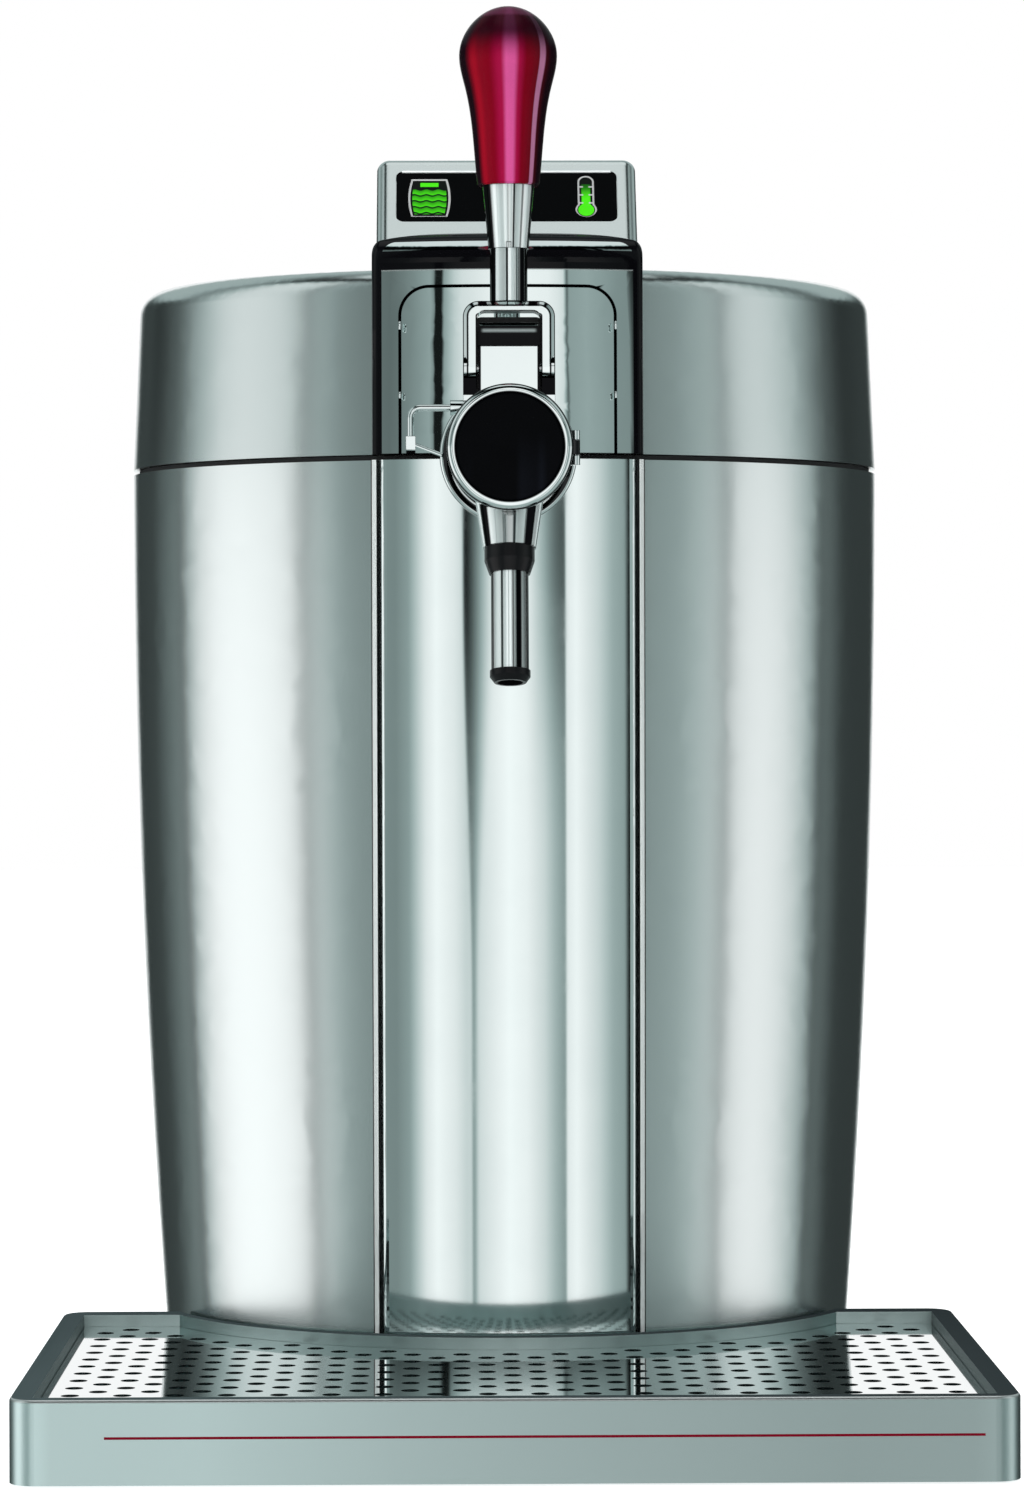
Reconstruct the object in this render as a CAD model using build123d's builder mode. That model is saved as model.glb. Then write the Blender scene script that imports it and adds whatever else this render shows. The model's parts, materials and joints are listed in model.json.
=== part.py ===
"""Counter-top dispenser for a 5 litre mini keg: cooled well, hinged lid with tap and display, drip tray.

Millimetres. +Z is up, -Y is the side with the tap, and the origin is on the counter under the middle of the
bounding box. Everything on the lid swings about the hinge pin at the back.
"""

from build123d import *

import math
import os

# --------------------------------------------------------------------------- driving dimensions
# Casing. In plan it is half an ellipse in front of its widest line and a longer half ellipse behind it.
half_width = 142.0          # casing, at the parting line
front_reach = 120.0         # from the widest line to the front, at the parting line
back_reach = 210.0          # from the widest line to the back, before the flat is cut
rear_flat = 190.0           # from the widest line to the flat back
foot_loss = 12.7            # how much less the casing reaches at its foot than at the parting line
back_loss_share = 0.3       # share of that loss at the back
lid_loss = 3.0              # how much less the lid reaches at its top
wall = 3.0
rebate = 1.2                # thickness of the casing's wall above the ledge that carries the collar
corner_round = 12.0         # upright edges of the flat back, rounder than the lid's top edge
lid_round = 9.0             # top edge of the lid
foot_height = 6.0
lip = 1.0                   # edge of the base pan that the casing stands on
pan_thick = 4.0
parting_z = 345.0           # middle of the gap between casing and lid, and the height of the tap
parting_gap = 2.0
lid_height = 67.5
fit_gap = 0.2               # between fixed pieces that slip into each other
face_gap = 0.05             # between curved faces of fixed pieces
running_gap = 0.4           # between faces of pieces that move past each other

# Front band: polished plate between two trims.
band_half = 49.3
band_proud = 4.0
trim_proud = 3.0
plate_half = 45.7
trim_width = 2.6
plate_round = 1.6
trim_round = 0.8
band_foot = 4.0             # casing's foot to the band
panel_half = 48.8
panel_round = 3.0
panel_corner = 9.0
panel_top = 426.0
panel_cap_depth = 14.0      # how far back the lid's panel reaches over the lid
panel_cap_round = 12.0      # top edge of the panel
door_half = 38.2            # inner panel that carries the tap
door_top = 405.5
door_corner = 10.0
door_groove = 0.9
door_notch_out = 0.4        # notch in the tap panel, outside the latch's leg
door_notch_half = 1.6
door_notch_tall = 4.4

# Display.
display_half = 47.2
display_lean = 35.0         # degrees from upright
display_foot_z = 424.0
display_slope = 37.8        # length of the sloping face
display_crest = 8.0
display_back = 62.0
display_corner = 4.6
display_wall = 2.6
window_half = 40.0
window_low = 8.2            # along the slope
window_high = 32.0
window_corner = 3.0
window_depth = 1.6
window_lip = 2.0
symbol_depth = 0.6
keg_symbol_x = -28.0
keg_symbol_wide = 15.4
keg_symbol_tall = 18.5
keg_symbol_waist = 13.0
keg_symbol_low = 1.4        # window's lower edge to the symbol
thermometer_x = 28.8
thermometer_tall = 20.2
thermometer_low = 1.2
thermometer_bulb = 3.9
thermometer_tube = 3.0
board_thick = 1.6

# Cooled well for the keg.
well_radius = 88.0
well_wall = 2.0
well_floor_z = 70.0
well_corner = 6.0
collar_thick = 6.0
flange_width = 9.0
pad_outer = 76.0
pad_inner = 58.0
pad_thick = 3.0
seal_in = 2.2               # casing outline to the lid seal
seal_width = 4.0
seal_gap = 0.3              # seal to the closed lid
foam_low = 58.0
foam_gap = 0.5
foam_back = 108.0           # widest line to the back of the foam
liner_thick = 2.0
dish_less = 4.0             # dish of the lid's liner, smaller than the well
dish_cover = 14.0           # dish's top to the lid's top

# Cooling unit behind the well.
cold_half = 30.0
cold_tall = 80.0
cold_reach = 22.0
cooler_z = 180.0
peltier_side = 40.0
peltier_thick = 4.0
sink_half = 45.0
sink_tall = 110.0
sink_base = 5.0
fin_depth = 28.0
fin_thick = 1.6
fin_count = 13
fan_side = 92.0
fan_depth = 25.0
fan_bore = 43.0
fan_corner = 5.0
fan_hub = 17.0
fan_boss = 15.0
fan_boss_thick = 4.0
fan_strut = 5.0
fan_blades = 7
blade_reach = 41.5
fan_blade_thick = 2.4
fan_blade_twist = 35.0
fan_blade_wide = 15.2
fan_shaft = 2.0
fan_screw_offset = 41.25
screw_radius = 1.9
screw_head = 3.6
screw_head_tall = 2.2
shaft_play = 0.05

# Back panel.
back_half = 46.0
back_low = 46.0
back_high = 292.0
back_thick = 1.6
back_lip = 5.0
slot_tall = 3.6
slot_wide = 66.0
slot_pitch = 7.6
slot_count = 14
service_z = 70.0
inlet_x = -21.0
inlet_wide = 30.0
inlet_tall = 24.0
inlet_cavity_wide = 24.0
inlet_cavity_tall = 16.0
inlet_deep = 20.0
inlet_flange = 2.0
blade_x = 7.0
blade_rise = 2.5
blade_size = (2.0, 4.0)      # flat blades of the mains inlet
switch_x = 22.0
bezel_wide = 22.0
bezel_tall = 29.0
bezel_deep = 15.0
bezel_wall = 2.0
rocker_radius = 10.5
rocker_pin = 1.2
rocker_tilt = 8.0           # degrees each way; the switch is off

# Hinge.
hinge_radius = 5.0
hinge_pin_radius = 2.0
hinge_half = 30.0
hinge_middle = 17.5
hinge_leaf_thick = 2.5
hinge_leaf_gap = 7.0
hinge_leaf_tall = 27.0
hinge_screw_x = 24.0

# Tap, all along -Y from the panel at the height of the parting line.
tap_flange_proud = 3.3      # flange proud of the drum all round
tap_flange_gap = 0.6        # flange to the lower plate in front of which it hangs
tap_flange_thick = 4.6
tap_boss_half = 17.5
tap_boss_top = 363.0
tap_boss_low = 347.0
tap_front = 45.5            # panel to the front of the drum
drum_radius = 21.2
drum_wall = 4.2
drum_cavity_depth = 12.0
tube_way = 5.0
tube_way_z = 355.0
tap_screw_x = 11.5
tap_screw_z = 355.0
tap_screw_reach = 9.0
lever_y = 31.0              # panel to the lever's pivot
lever_z = 373.7
lever_pin_radius = 2.0
lever_pin_half = 15.9
neck_half = 10.6
neck_top = 381.0
neck_depth = 14.0
fork_half = 16.1
lever_swing = 50.0          # degrees the lever is pulled forward
fork_inner = 11.3
fork_depth = 13.0
fork_top = 397.0
fork_bridge = 3.4
fork_corner = 5.5
fork_inner_corner = 3.0
fork_bevel = 2.0
stem_radius = 6.6
stem_top = 415.5
ferrule_top = 437.5
ferrule_low_radius = 7.1
ferrule_high_radius = 9.1
ferrule_notch_half = 0.8
ferrule_notch_tall = 2.0
stem_core = 3.0
knob_low_radius = 10.9
knob_radius = 17.0
knob_foot_round = 0.6
knob_shoulder = 34.0        # knob's foot to three quarters of its swell
knob_shoulder_in = 2.0      # swell still to come there
knob_flare = 0.12           # how fast the knob widens at its foot
knob_widest = 485.5
knob_top = 500.5
guard_half = 13.4
guard_top = 392.5
guard_front = 22.0
guard_corner = 4.0
pinch_half = 10.8
pinch_low = 381.4
pinch_high = 388.2
pinch_depth = 11.0
pinch_stem = 1.3
pinch_stem_y = 4.2
pinch_stem_reach = 11.0
bar_radius = 2.0
bar_half = 10.3
bar_z = 387.8
cover_overhang = 0.8        # cover proud of the drum all round
cover_front = 54.5
cover_plate = 3.0
cover_wall = 2.4
cover_round = 2.2
badge_rim = 3.15            # chromed ring round the badge
badge_depth = 1.8
cover_hinge_out = 0.9       # cover's edge to the hinge's axis
cover_knuckle = 1.6
cover_pin_radius = 0.8
cover_hinge_half = 6.0
cover_knuckle_half = 2.6
latch_rise = 14.3           # tap's axis to the latch's axis
latch_y = 41.0
latch_radius = 1.2
latch_root = 2.65           # how deep the latch's boss starts inside the drum
latch_boss_out = 4.95       # boss proud of the drum
latch_boss_radius = 2.6
latch_arm = 13.2            # drum's side to the latch's upright leg
latch_bend = 3.4
latch_leg = 9.9             # latch's axis to its grip
latch_grip_tall = 4.8
latch_grip_half = 1.7
latch_link_out = 1.2        # cover's edge to the end of the latch's hook
latch_link_drop = 2.6       # tap's axis to the end of the hook
latch_link_y = 47.5
latch_link_radius = 0.7
spout_y = 28.0              # panel to the spout's axis, at the height of the drum's middle
spout_lean = 12.0           # degrees forward
spout_cone_seat = 6.2       # how far the cone reaches up inside the drum's outline
spout_cone_end = 35.4       # along the spout from the drum's middle
spout_cone_high = 12.4
spout_cone_low = 9.3
spout_collar_end = 44.6
spout_collar_inset = 0.5    # collar inside the cone's lower edge
spout_collar_low = 7.2
spout_radius = 6.6
spout_end = 79.2
spout_tip_end = 83.4
spout_tip_proud = 0.5
spout_bore = 4.5

# Drip tray.
tray_half = 166.2
tray_reach = 147.0          # casing's front, at the parting line, to the tray's front
tray_depth = 225.0
tray_height = 29.0
tray_corner = 9.0
tray_rim = 8.0
tray_front_rim = 5.0
tray_back_rim = 11.0
tray_floor = 3.0
tray_foot = 0.8
tray_foot_radius = 6.0
tray_round = 1.4
tray_side_gap = 2.0         # tray to the casing beside it
tray_band_gap = 2.0         # tray to the front band
rim_side = 3.4              # rim that curves round the casing
rim_front = 6.2
ledge = 3.0
grid_thick = 1.2
grid_sunk = 4.3
grid_play = 0.4
hole_radius = 3.1
hole_pitch = 17.5
hole_margin = 2.4
first_row = 12.0            # tray's front to the first row of holes
tongue_x = 35.0             # tongues that dock the tray under the casing
tongue_half = 10.0
tongue_root = 6.0           # how far the tongue starts inside the tray's wall
tongue_reach = 34.0
tongue_gap = 0.3

# Feet.
foot_radius = 11.0
foot_x = 80.0
foot_front = 60.0
foot_back = 120.0
boss_radius = 6.0
boss_tall = 10.0
post_x = 50.0
post_y = 38.0
post_tall = 14.0
peg_radius = 2.0
board_x = 58.0
board_y = 46.0
transformer_place = (-22.0, 4.0)
transformer_size = (34.0, 30.0, 22.0)
cooler_fins_place = (24.0, -18.0)
cooler_fins_size = (12.0, 26.0, 18.0)
capacitor_place = (24.0, 24.0)
capacitor_radius = 9.0
capacitor_tall = 20.0

# --------------------------------------------------------------------------- stations worked out
casing_bottom = foot_height + lip
casing_top = parting_z - parting_gap / 2
lid_bottom = parting_z + parting_gap / 2
lid_top = lid_bottom + lid_height
hinge_y_reach = rear_flat + hinge_radius
casing_y = (front_reach + tray_reach - (hinge_y_reach + hinge_radius)) / 2
front_y = casing_y - front_reach
panel_y = front_y - band_proud
rear_y = casing_y + rear_flat
inside_rear = rear_y - wall
hinge_y = casing_y + hinge_y_reach
tray_front_y = front_y - tray_reach
tray_back_y = tray_front_y + tray_depth
ledge_z = casing_top - parting_gap - collar_thick
collar_top = casing_top - parting_gap
well_outer = well_radius + well_wall
pan_top = foot_height + pan_thick
board_top = pan_top + post_tall + board_thick
band_bottom = casing_bottom + band_foot
cold_y = casing_y + well_outer + cold_reach
sink_y = cold_y + peltier_thick
fan_y = sink_y + sink_base + fin_depth
flange_y = panel_y - tap_flange_gap
drum_back_y = flange_y - tap_flange_thick
drum_front_y = panel_y - tap_front
pivot_y = panel_y - lever_y
seam_y = drum_front_y - running_gap
cover_front_y = panel_y - cover_front
dish_top = lid_top - dish_cover
dish_radius = well_radius - dish_less
cheek_top = lever_z - fork_depth / 2 * math.tan(math.radians(lever_swing / 2)) - 2 * running_gap
drum_cavity = drum_radius - drum_wall
tap_flange_radius = drum_radius + tap_flange_proud
cover_radius = drum_radius + cover_overhang
badge_radius = cover_radius - badge_rim
cover_hinge_x = cover_radius + cover_hinge_out
latch_z = parting_z + latch_rise
latch_root_x = math.sqrt(drum_radius**2 - latch_rise**2) - latch_root
latch_boss_x = latch_root_x + latch_root + latch_boss_out
latch_outer_x = drum_radius + latch_arm
latch_end_z = latch_z - latch_leg
latch_grip_low = latch_end_z - latch_grip_tall
latch_link_x = cover_radius + latch_link_out
latch_link_z = parting_z - latch_link_drop
door_notch_x = latch_outer_x + door_notch_out
spout_cone_start = drum_radius - spout_cone_seat


# --------------------------------------------------------------------------- shared shapes
def slimming(z):
    """How much less the casing reaches at height z than at the parting line."""
    if z > parting_z:
        return lid_loss * (z - lid_bottom) / lid_height
    return foot_loss * ((casing_top - z) / (casing_top - casing_bottom)) ** 2


def casing_outline(z, grow=0.0):
    """Plan of the casing at height z, grow outside its outer face, before its back is cut flat."""
    loss = slimming(z)
    across = half_width + grow - loss
    forward = front_reach + grow - loss
    backward = back_reach + grow - back_loss_share * loss
    with BuildSketch(Plane.XY.offset(z)) as outline:
        with BuildLine():
            EllipticalCenterArc((0, casing_y), across, forward, 180, arc_size=180)
            EllipticalCenterArc((0, casing_y), across, backward, 0, arc_size=180)
        make_face()
    return outline.sketch


def casing_block(low, high, grow=0.0):
    """Solid between two heights inside that outline, with the flat back and its rounded upright edges."""
    with BuildPart() as block:
        loft([casing_outline(z, grow) for z in (low, (low + high) / 2, high)])
        split(bisect_by=Plane.XZ.offset(-(rear_y + grow)), keep=Keep.TOP)
        back_edges = block.faces().sort_by(Axis.Y)[-1].edges()
        upright = back_edges.filter_by(lambda edge: edge.bounding_box().size.Z > (high - low) / 2)
        fillet(upright, corner_round + grow)
    return block.part


def lid_block(low, grow=0.0):
    """Solid of the lid, grow outside its outer face, with the rounded top edge."""
    with BuildPart() as block:
        add(casing_block(low, lid_top + grow, grow))
        fillet(block.faces().sort_by(Axis.Z)[-1].edges(), lid_round + grow)
    return block.part


def arch_block(half, low, top, corner, front, back):
    """Block between two Y stations, as wide as 2 half, with its upper corners rounded."""
    with BuildPart() as block:
        with BuildSketch(Plane.XZ.offset(-back)) as face:
            with Locations((0, (low + top) / 2)):
                Rectangle(2 * half, top - low)
            fillet(face.vertices().group_by(Axis.Y)[-1], corner)
        extrude(amount=back - front)
    return block.part


def cup_room(radius, low, high, corner):
    """Cylinder on the well's axis with a rounded lower edge."""
    with BuildPart() as block:
        add(post(radius, low, high, [(0, casing_y)]))
        fillet(block.faces().sort_by(Axis.Z)[0].edges(), corner)
    return block.part


def dome_room(radius, low, high, corner):
    """Cylinder on the well's axis with a rounded upper edge."""
    with BuildPart() as block:
        add(post(radius, low, high, [(0, casing_y)]))
        fillet(block.faces().sort_by(Axis.Z)[-1].edges(), corner)
    return block.part


def drum(radius, front, back, x=0.0, z=0.0):
    """Cylinder along Y between two stations."""
    with BuildPart() as block:
        with BuildSketch(Plane.XZ.offset(-back)):
            with Locations((x, z)):
                Circle(radius)
        extrude(amount=back - front)
    return block.part


def rod(radius, left, right, y, z):
    """Cylinder along X between two stations."""
    with BuildPart() as block:
        with BuildSketch(Plane.YZ.offset(left)):
            with Locations((y, z)):
                Circle(radius)
        extrude(amount=right - left)
    return block.part


def post(radius, low, high, places):
    """Cylinders along Z at each (x, y)."""
    with BuildPart() as block:
        with BuildSketch(Plane.XY.offset(low)):
            with Locations(*places):
                Circle(radius)
        extrude(amount=high - low)
    return block.part


def box_between(lowest, highest):
    """Block between two corners."""
    middle = [(a + b) / 2 for a, b in zip(lowest, highest)]
    with BuildPart() as block:
        with Locations(tuple(middle)):
            Box(*[b - a for a, b in zip(lowest, highest)])
    return block.part


def front_skin(low, high, proud, left, right):
    """Piece of a curved plate that lies on the casing's front, from left to right."""
    with BuildPart() as skin:
        add(casing_block(low, high, proud))
        add(casing_block(low - 1, high + 1, face_gap), mode=Mode.SUBTRACT)
        add(box_between((left, front_y - 2 * proud, low), (right, casing_y, high)), mode=Mode.INTERSECT)
    return skin.part


def outer_face(part):
    """The curved face at the front of a skin."""
    return part.faces().filter_by(GeomType.PLANE, reverse=True).sort_by(Axis.Y)[0]


def outer_long_edges(part, tall):
    """The upright edges along the outer face of a front skin."""
    return outer_face(part).edges().filter_by(lambda edge: edge.bounding_box().size.Z > tall)


def revolved(profile_points, plane):
    """Solid turned about a plane's local Y axis from (radius, station) points."""
    with BuildPart() as block:
        with BuildSketch(plane):
            with BuildLine():
                Polyline(*profile_points, close=True)
            make_face()
        revolve(axis=Axis(plane.origin, plane.y_dir))
    return block.part


def inner_front(x, z):
    """Y of the casing's inner face at the front, x from the middle."""
    across = half_width - wall - slimming(z)
    reach = front_reach - wall - slimming(z)
    return casing_y - reach * math.sqrt(1 - (x / across) ** 2)


def screw(head_y, reach, x, z):
    """Pan head screw along Y: its head stands behind the plane head_y and its shank runs forward."""
    with BuildPart() as block:
        add(drum(screw_head, head_y, head_y + screw_head_tall, x, z))
        add(drum(screw_radius, head_y - reach, head_y, x, z))
    return block.part


back_screw_places = [
    (side * (back_half - back_lip / 2), z)
    for side in (-1, 1) for z in (back_low + back_lip, back_high - back_lip)
]
hinge_screw_rise = hinge_leaf_gap + hinge_leaf_tall / 2
body_leaf_places = [(x, parting_z - hinge_screw_rise) for x in (-hinge_screw_x, 0, hinge_screw_x)]
lid_leaf_places = [(x, parting_z + hinge_screw_rise) for x in (-hinge_screw_x, 0, hinge_screw_x)]
foot_places = [
    (side * foot_x, casing_y + along)
    for side in (-1, 1) for along in (-foot_front, foot_back)
]
post_places = [
    (side * post_x, casing_y + along)
    for side in (-1, 1) for along in (-post_y, post_y)
]
spout_plane = Plane(
    origin=(0, panel_y - spout_y, parting_z),
    x_dir=(1, 0, 0),
    z_dir=(0, -math.cos(math.radians(spout_lean)), math.sin(math.radians(spout_lean))),
)
slope_sine = math.sin(math.radians(display_lean))
slope_cosine = math.cos(math.radians(display_lean))
slope_plane = Plane(
    origin=(0, panel_y + panel_cap_depth, display_foot_z),
    x_dir=(1, 0, 0),
    z_dir=(0, -slope_cosine, slope_sine),
)

# --------------------------------------------------------------------------- base
with BuildPart() as base_pan:
    add(casing_block(foot_height, casing_bottom))
    add(casing_block(foot_height, pan_top, -wall - fit_gap))
    add(post(boss_radius, pan_top, pan_top + boss_tall, foot_places))
    add(post(boss_radius, pan_top, pan_top + post_tall, post_places))
    add(post(peg_radius, pan_top, pan_top + post_tall + 2 * board_thick, post_places))
    add(post(screw_radius + shaft_play, foot_height - 1, pan_top + boss_tall + 1, foot_places),
        mode=Mode.SUBTRACT)

with BuildPart() as feet:
    add(post(foot_radius, 0, foot_height, foot_places))
    fillet(feet.faces().group_by(Axis.Z)[0].edges(), tray_round)
    add(post(screw_radius + shaft_play, -1, foot_height + 1, foot_places), mode=Mode.SUBTRACT)
    add(post(screw_head + fit_gap, -1, foot_height / 2, foot_places), mode=Mode.SUBTRACT)

with BuildPart() as foot_screws:
    add(post(screw_head, foot_height / 2 - screw_head_tall, foot_height / 2, foot_places))
    add(post(screw_radius, foot_height / 2, pan_top + boss_tall, foot_places))

with BuildPart() as power_board:
    add(box_between(
        (-board_x, casing_y - board_y, pan_top + post_tall),
        (board_x, casing_y + board_y, board_top),
    ))
    for (x, along), block_size in (
        (transformer_place, transformer_size), (cooler_fins_place, cooler_fins_size),
    ):
        with Locations((x, casing_y + along, board_top + block_size[2] / 2)):
            Box(*block_size)
    add(post(capacitor_radius, board_top, board_top + capacitor_tall,
             [(capacitor_place[0], casing_y + capacitor_place[1])]))
    add(post(peg_radius + shaft_play, pan_top, board_top + 1, post_places), mode=Mode.SUBTRACT)

# --------------------------------------------------------------------------- casing and back
with BuildPart() as body_shell:
    add(casing_block(casing_bottom, casing_top))
    add(casing_block(casing_bottom - 1, ledge_z, -wall), mode=Mode.SUBTRACT)
    add(casing_block(ledge_z, casing_top + 1, -rebate), mode=Mode.SUBTRACT)
    add(
        box_between((-back_half - fit_gap, rear_y - back_thick, back_low - fit_gap),
                    (back_half + fit_gap, rear_y + 1, back_high + fit_gap)),
        mode=Mode.SUBTRACT,
    )
    add(
        box_between((-back_half + back_lip, inside_rear - 1, back_low + back_lip),
                    (back_half - back_lip, rear_y, back_high - back_lip)),
        mode=Mode.SUBTRACT,
    )
    for x, z in back_screw_places + body_leaf_places:
        add(drum(screw_radius + shaft_play, inside_rear - 1, rear_y + 1, x, z), mode=Mode.SUBTRACT)

bezel_hole_half = bezel_wide / 2 - bezel_wall
bezel_hole_tall = bezel_tall - 2 * bezel_wall
with BuildPart() as rear_vent_panel:
    add(box_between((-back_half, rear_y - back_thick, back_low), (back_half, rear_y, back_high)))
    with BuildSketch(Plane.XZ.offset(-rear_y)):
        with Locations((0, cooler_z)):
            with GridLocations(0, slot_pitch, 1, slot_count):
                SlotOverall(slot_wide, slot_tall)
        with Locations((inlet_x, service_z)):
            Rectangle(inlet_wide + 2 * fit_gap, inlet_tall + 2 * fit_gap)
        with Locations((switch_x, service_z)):
            Rectangle(bezel_wide - 2 * bezel_wall + 2 * fit_gap, bezel_hole_tall + 2 * fit_gap)
    extrude(amount=back_thick + 1, both=True, mode=Mode.SUBTRACT)
    for x, z in back_screw_places:
        add(drum(screw_radius + shaft_play, inside_rear, rear_y + 1, x, z), mode=Mode.SUBTRACT)

with BuildPart() as rear_panel_screws:
    for x, z in back_screw_places:
        add(screw(rear_y, wall + 3, x, z))

with BuildPart() as mains_inlet:
    add(box_between((inlet_x - inlet_wide / 2, rear_y - inlet_deep, service_z - inlet_tall / 2),
                    (inlet_x + inlet_wide / 2, rear_y, service_z + inlet_tall / 2)))
    add(box_between((inlet_x - inlet_wide / 2 - bezel_wall, rear_y, service_z - inlet_tall / 2 - bezel_wall),
                    (inlet_x + inlet_wide / 2 + bezel_wall, rear_y + inlet_flange,
                     service_z + inlet_tall / 2 + bezel_wall)))
    add(
        box_between((inlet_x - inlet_cavity_wide / 2, rear_y - inlet_deep + bezel_wall,
                     service_z - inlet_cavity_tall / 2),
                    (inlet_x + inlet_cavity_wide / 2, rear_y + inlet_flange + 1,
                     service_z + inlet_cavity_tall / 2)),
        mode=Mode.SUBTRACT,
    )
    for x, z in ((-blade_x, -blade_rise), (0, blade_rise), (blade_x, -blade_rise)):
        with Locations((inlet_x + x, rear_y - inlet_deep / 2, service_z + z)):
            Box(blade_size[0], inlet_deep - 2 * bezel_wall, blade_size[1])

with BuildPart() as switch_bezel:
    add(box_between((switch_x - bezel_wide / 2, rear_y, service_z - bezel_tall / 2),
                    (switch_x + bezel_wide / 2, rear_y + inlet_flange, service_z + bezel_tall / 2)))
    add(box_between((switch_x - bezel_hole_half, rear_y - bezel_deep, service_z - bezel_hole_tall / 2),
                    (switch_x + bezel_hole_half, rear_y, service_z + bezel_hole_tall / 2)))
    add(
        box_between((switch_x - bezel_hole_half + bezel_wall / 2, rear_y - bezel_deep + bezel_wall,
                     service_z - bezel_hole_tall / 2 + 1),
                    (switch_x + bezel_hole_half - bezel_wall / 2, rear_y + inlet_flange + 1,
                     service_z + bezel_hole_tall / 2 - 1)),
        mode=Mode.SUBTRACT,
    )
    add(
        rod(rocker_pin + shaft_play, switch_x - bezel_hole_half + fit_gap,
            switch_x + bezel_hole_half - fit_gap, rear_y - bezel_wall, service_z),
        mode=Mode.SUBTRACT,
    )

rocker_half = bezel_hole_half - bezel_wall / 2 - running_gap
with BuildPart() as power_switch:
    add(rod(rocker_radius, switch_x - rocker_half, switch_x + rocker_half, rear_y - bezel_wall, service_z))
    for tilt in (0, -2 * rocker_tilt):
        lean = Plane(
            origin=(switch_x, rear_y + inlet_flange - running_gap, service_z),
            x_dir=(1, 0, 0),
            z_dir=(0, math.cos(math.radians(tilt)), math.sin(math.radians(tilt))),
        )
        with BuildSketch(lean):
            Rectangle(4 * rocker_radius, 4 * rocker_radius)
        extrude(amount=2 * rocker_radius, mode=Mode.SUBTRACT)
    add(rod(rocker_pin, switch_x - bezel_hole_half + 2 * fit_gap, switch_x + bezel_hole_half - 2 * fit_gap,
            rear_y - bezel_wall, service_z))

# --------------------------------------------------------------------------- front band
with BuildPart() as lower_front_plate:
    add(front_skin(band_bottom, casing_top, band_proud, -plate_half, plate_half))
    fillet(outer_long_edges(lower_front_plate.part, (casing_top - band_bottom) / 2), plate_round)

with BuildPart() as band_trims:
    add(front_skin(band_bottom, casing_top, trim_proud, -band_half, -band_half + trim_width))
    fillet(outer_long_edges(band_trims.part, (casing_top - band_bottom) / 2), trim_round)
    mirror(about=Plane.YZ)

# --------------------------------------------------------------------------- well and cooling
with BuildPart() as well_collar:
    add(casing_block(ledge_z, collar_top, -rebate - fit_gap))
    add(post(well_outer + face_gap, ledge_z - 1, collar_top + 1, [(0, casing_y)]), mode=Mode.SUBTRACT)

with BuildPart() as cooling_well:
    add(cup_room(well_outer, well_floor_z, casing_top, well_corner + well_wall))
    add(post(well_outer + flange_width, collar_top, casing_top, [(0, casing_y)]))
    add(cup_room(well_radius, well_floor_z + well_wall, casing_top + 1, well_corner), mode=Mode.SUBTRACT)

with BuildPart() as keg_rest_ring:
    add(post(pad_outer, well_floor_z + well_wall, well_floor_z + well_wall + pad_thick, [(0, casing_y)]))
    add(post(pad_inner, well_floor_z, well_floor_z + well_wall + pad_thick + 1, [(0, casing_y)]),
        mode=Mode.SUBTRACT)

with BuildPart() as lid_seal:
    add(casing_block(collar_top, lid_bottom - seal_gap, -seal_in))
    add(casing_block(collar_top - 1, lid_bottom + 1, -seal_in - seal_width), mode=Mode.SUBTRACT)

with BuildPart() as insulation_foam:
    add(casing_block(foam_low, ledge_z - foam_gap, -wall - foam_gap))
    split(bisect_by=Plane.XZ.offset(-(casing_y + foam_back)), keep=Keep.TOP)
    add(post(well_outer + face_gap, well_floor_z - face_gap, ledge_z + 1, [(0, casing_y)]),
        mode=Mode.SUBTRACT)
    add(
        box_between((-cold_half - foam_gap, casing_y, cooler_z - cold_tall / 2 - foam_gap),
                    (cold_half + foam_gap, casing_y + foam_back + 1, cooler_z + cold_tall / 2 + foam_gap)),
        mode=Mode.SUBTRACT,
    )

with BuildPart() as cold_block:
    add(box_between((-cold_half, casing_y + well_radius / 2, cooler_z - cold_tall / 2),
                    (cold_half, cold_y, cooler_z + cold_tall / 2)))
    add(post(well_outer + face_gap, cooler_z - cold_tall, cooler_z + cold_tall, [(0, casing_y)]),
        mode=Mode.SUBTRACT)

with BuildPart() as peltier_module:
    add(box_between((-peltier_side / 2, cold_y, cooler_z - peltier_side / 2),
                    (peltier_side / 2, sink_y, cooler_z + peltier_side / 2)))

with BuildPart() as heat_sink:
    add(box_between((-sink_half, sink_y, cooler_z - sink_tall / 2),
                    (sink_half, sink_y + sink_base, cooler_z + sink_tall / 2)))
    with Locations((0, sink_y + sink_base + fin_depth / 2, cooler_z)):
        with GridLocations((2 * sink_half - fin_thick) / (fin_count - 1), 0, fin_count, 1):
            Box(fin_thick, fin_depth, sink_tall)

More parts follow.
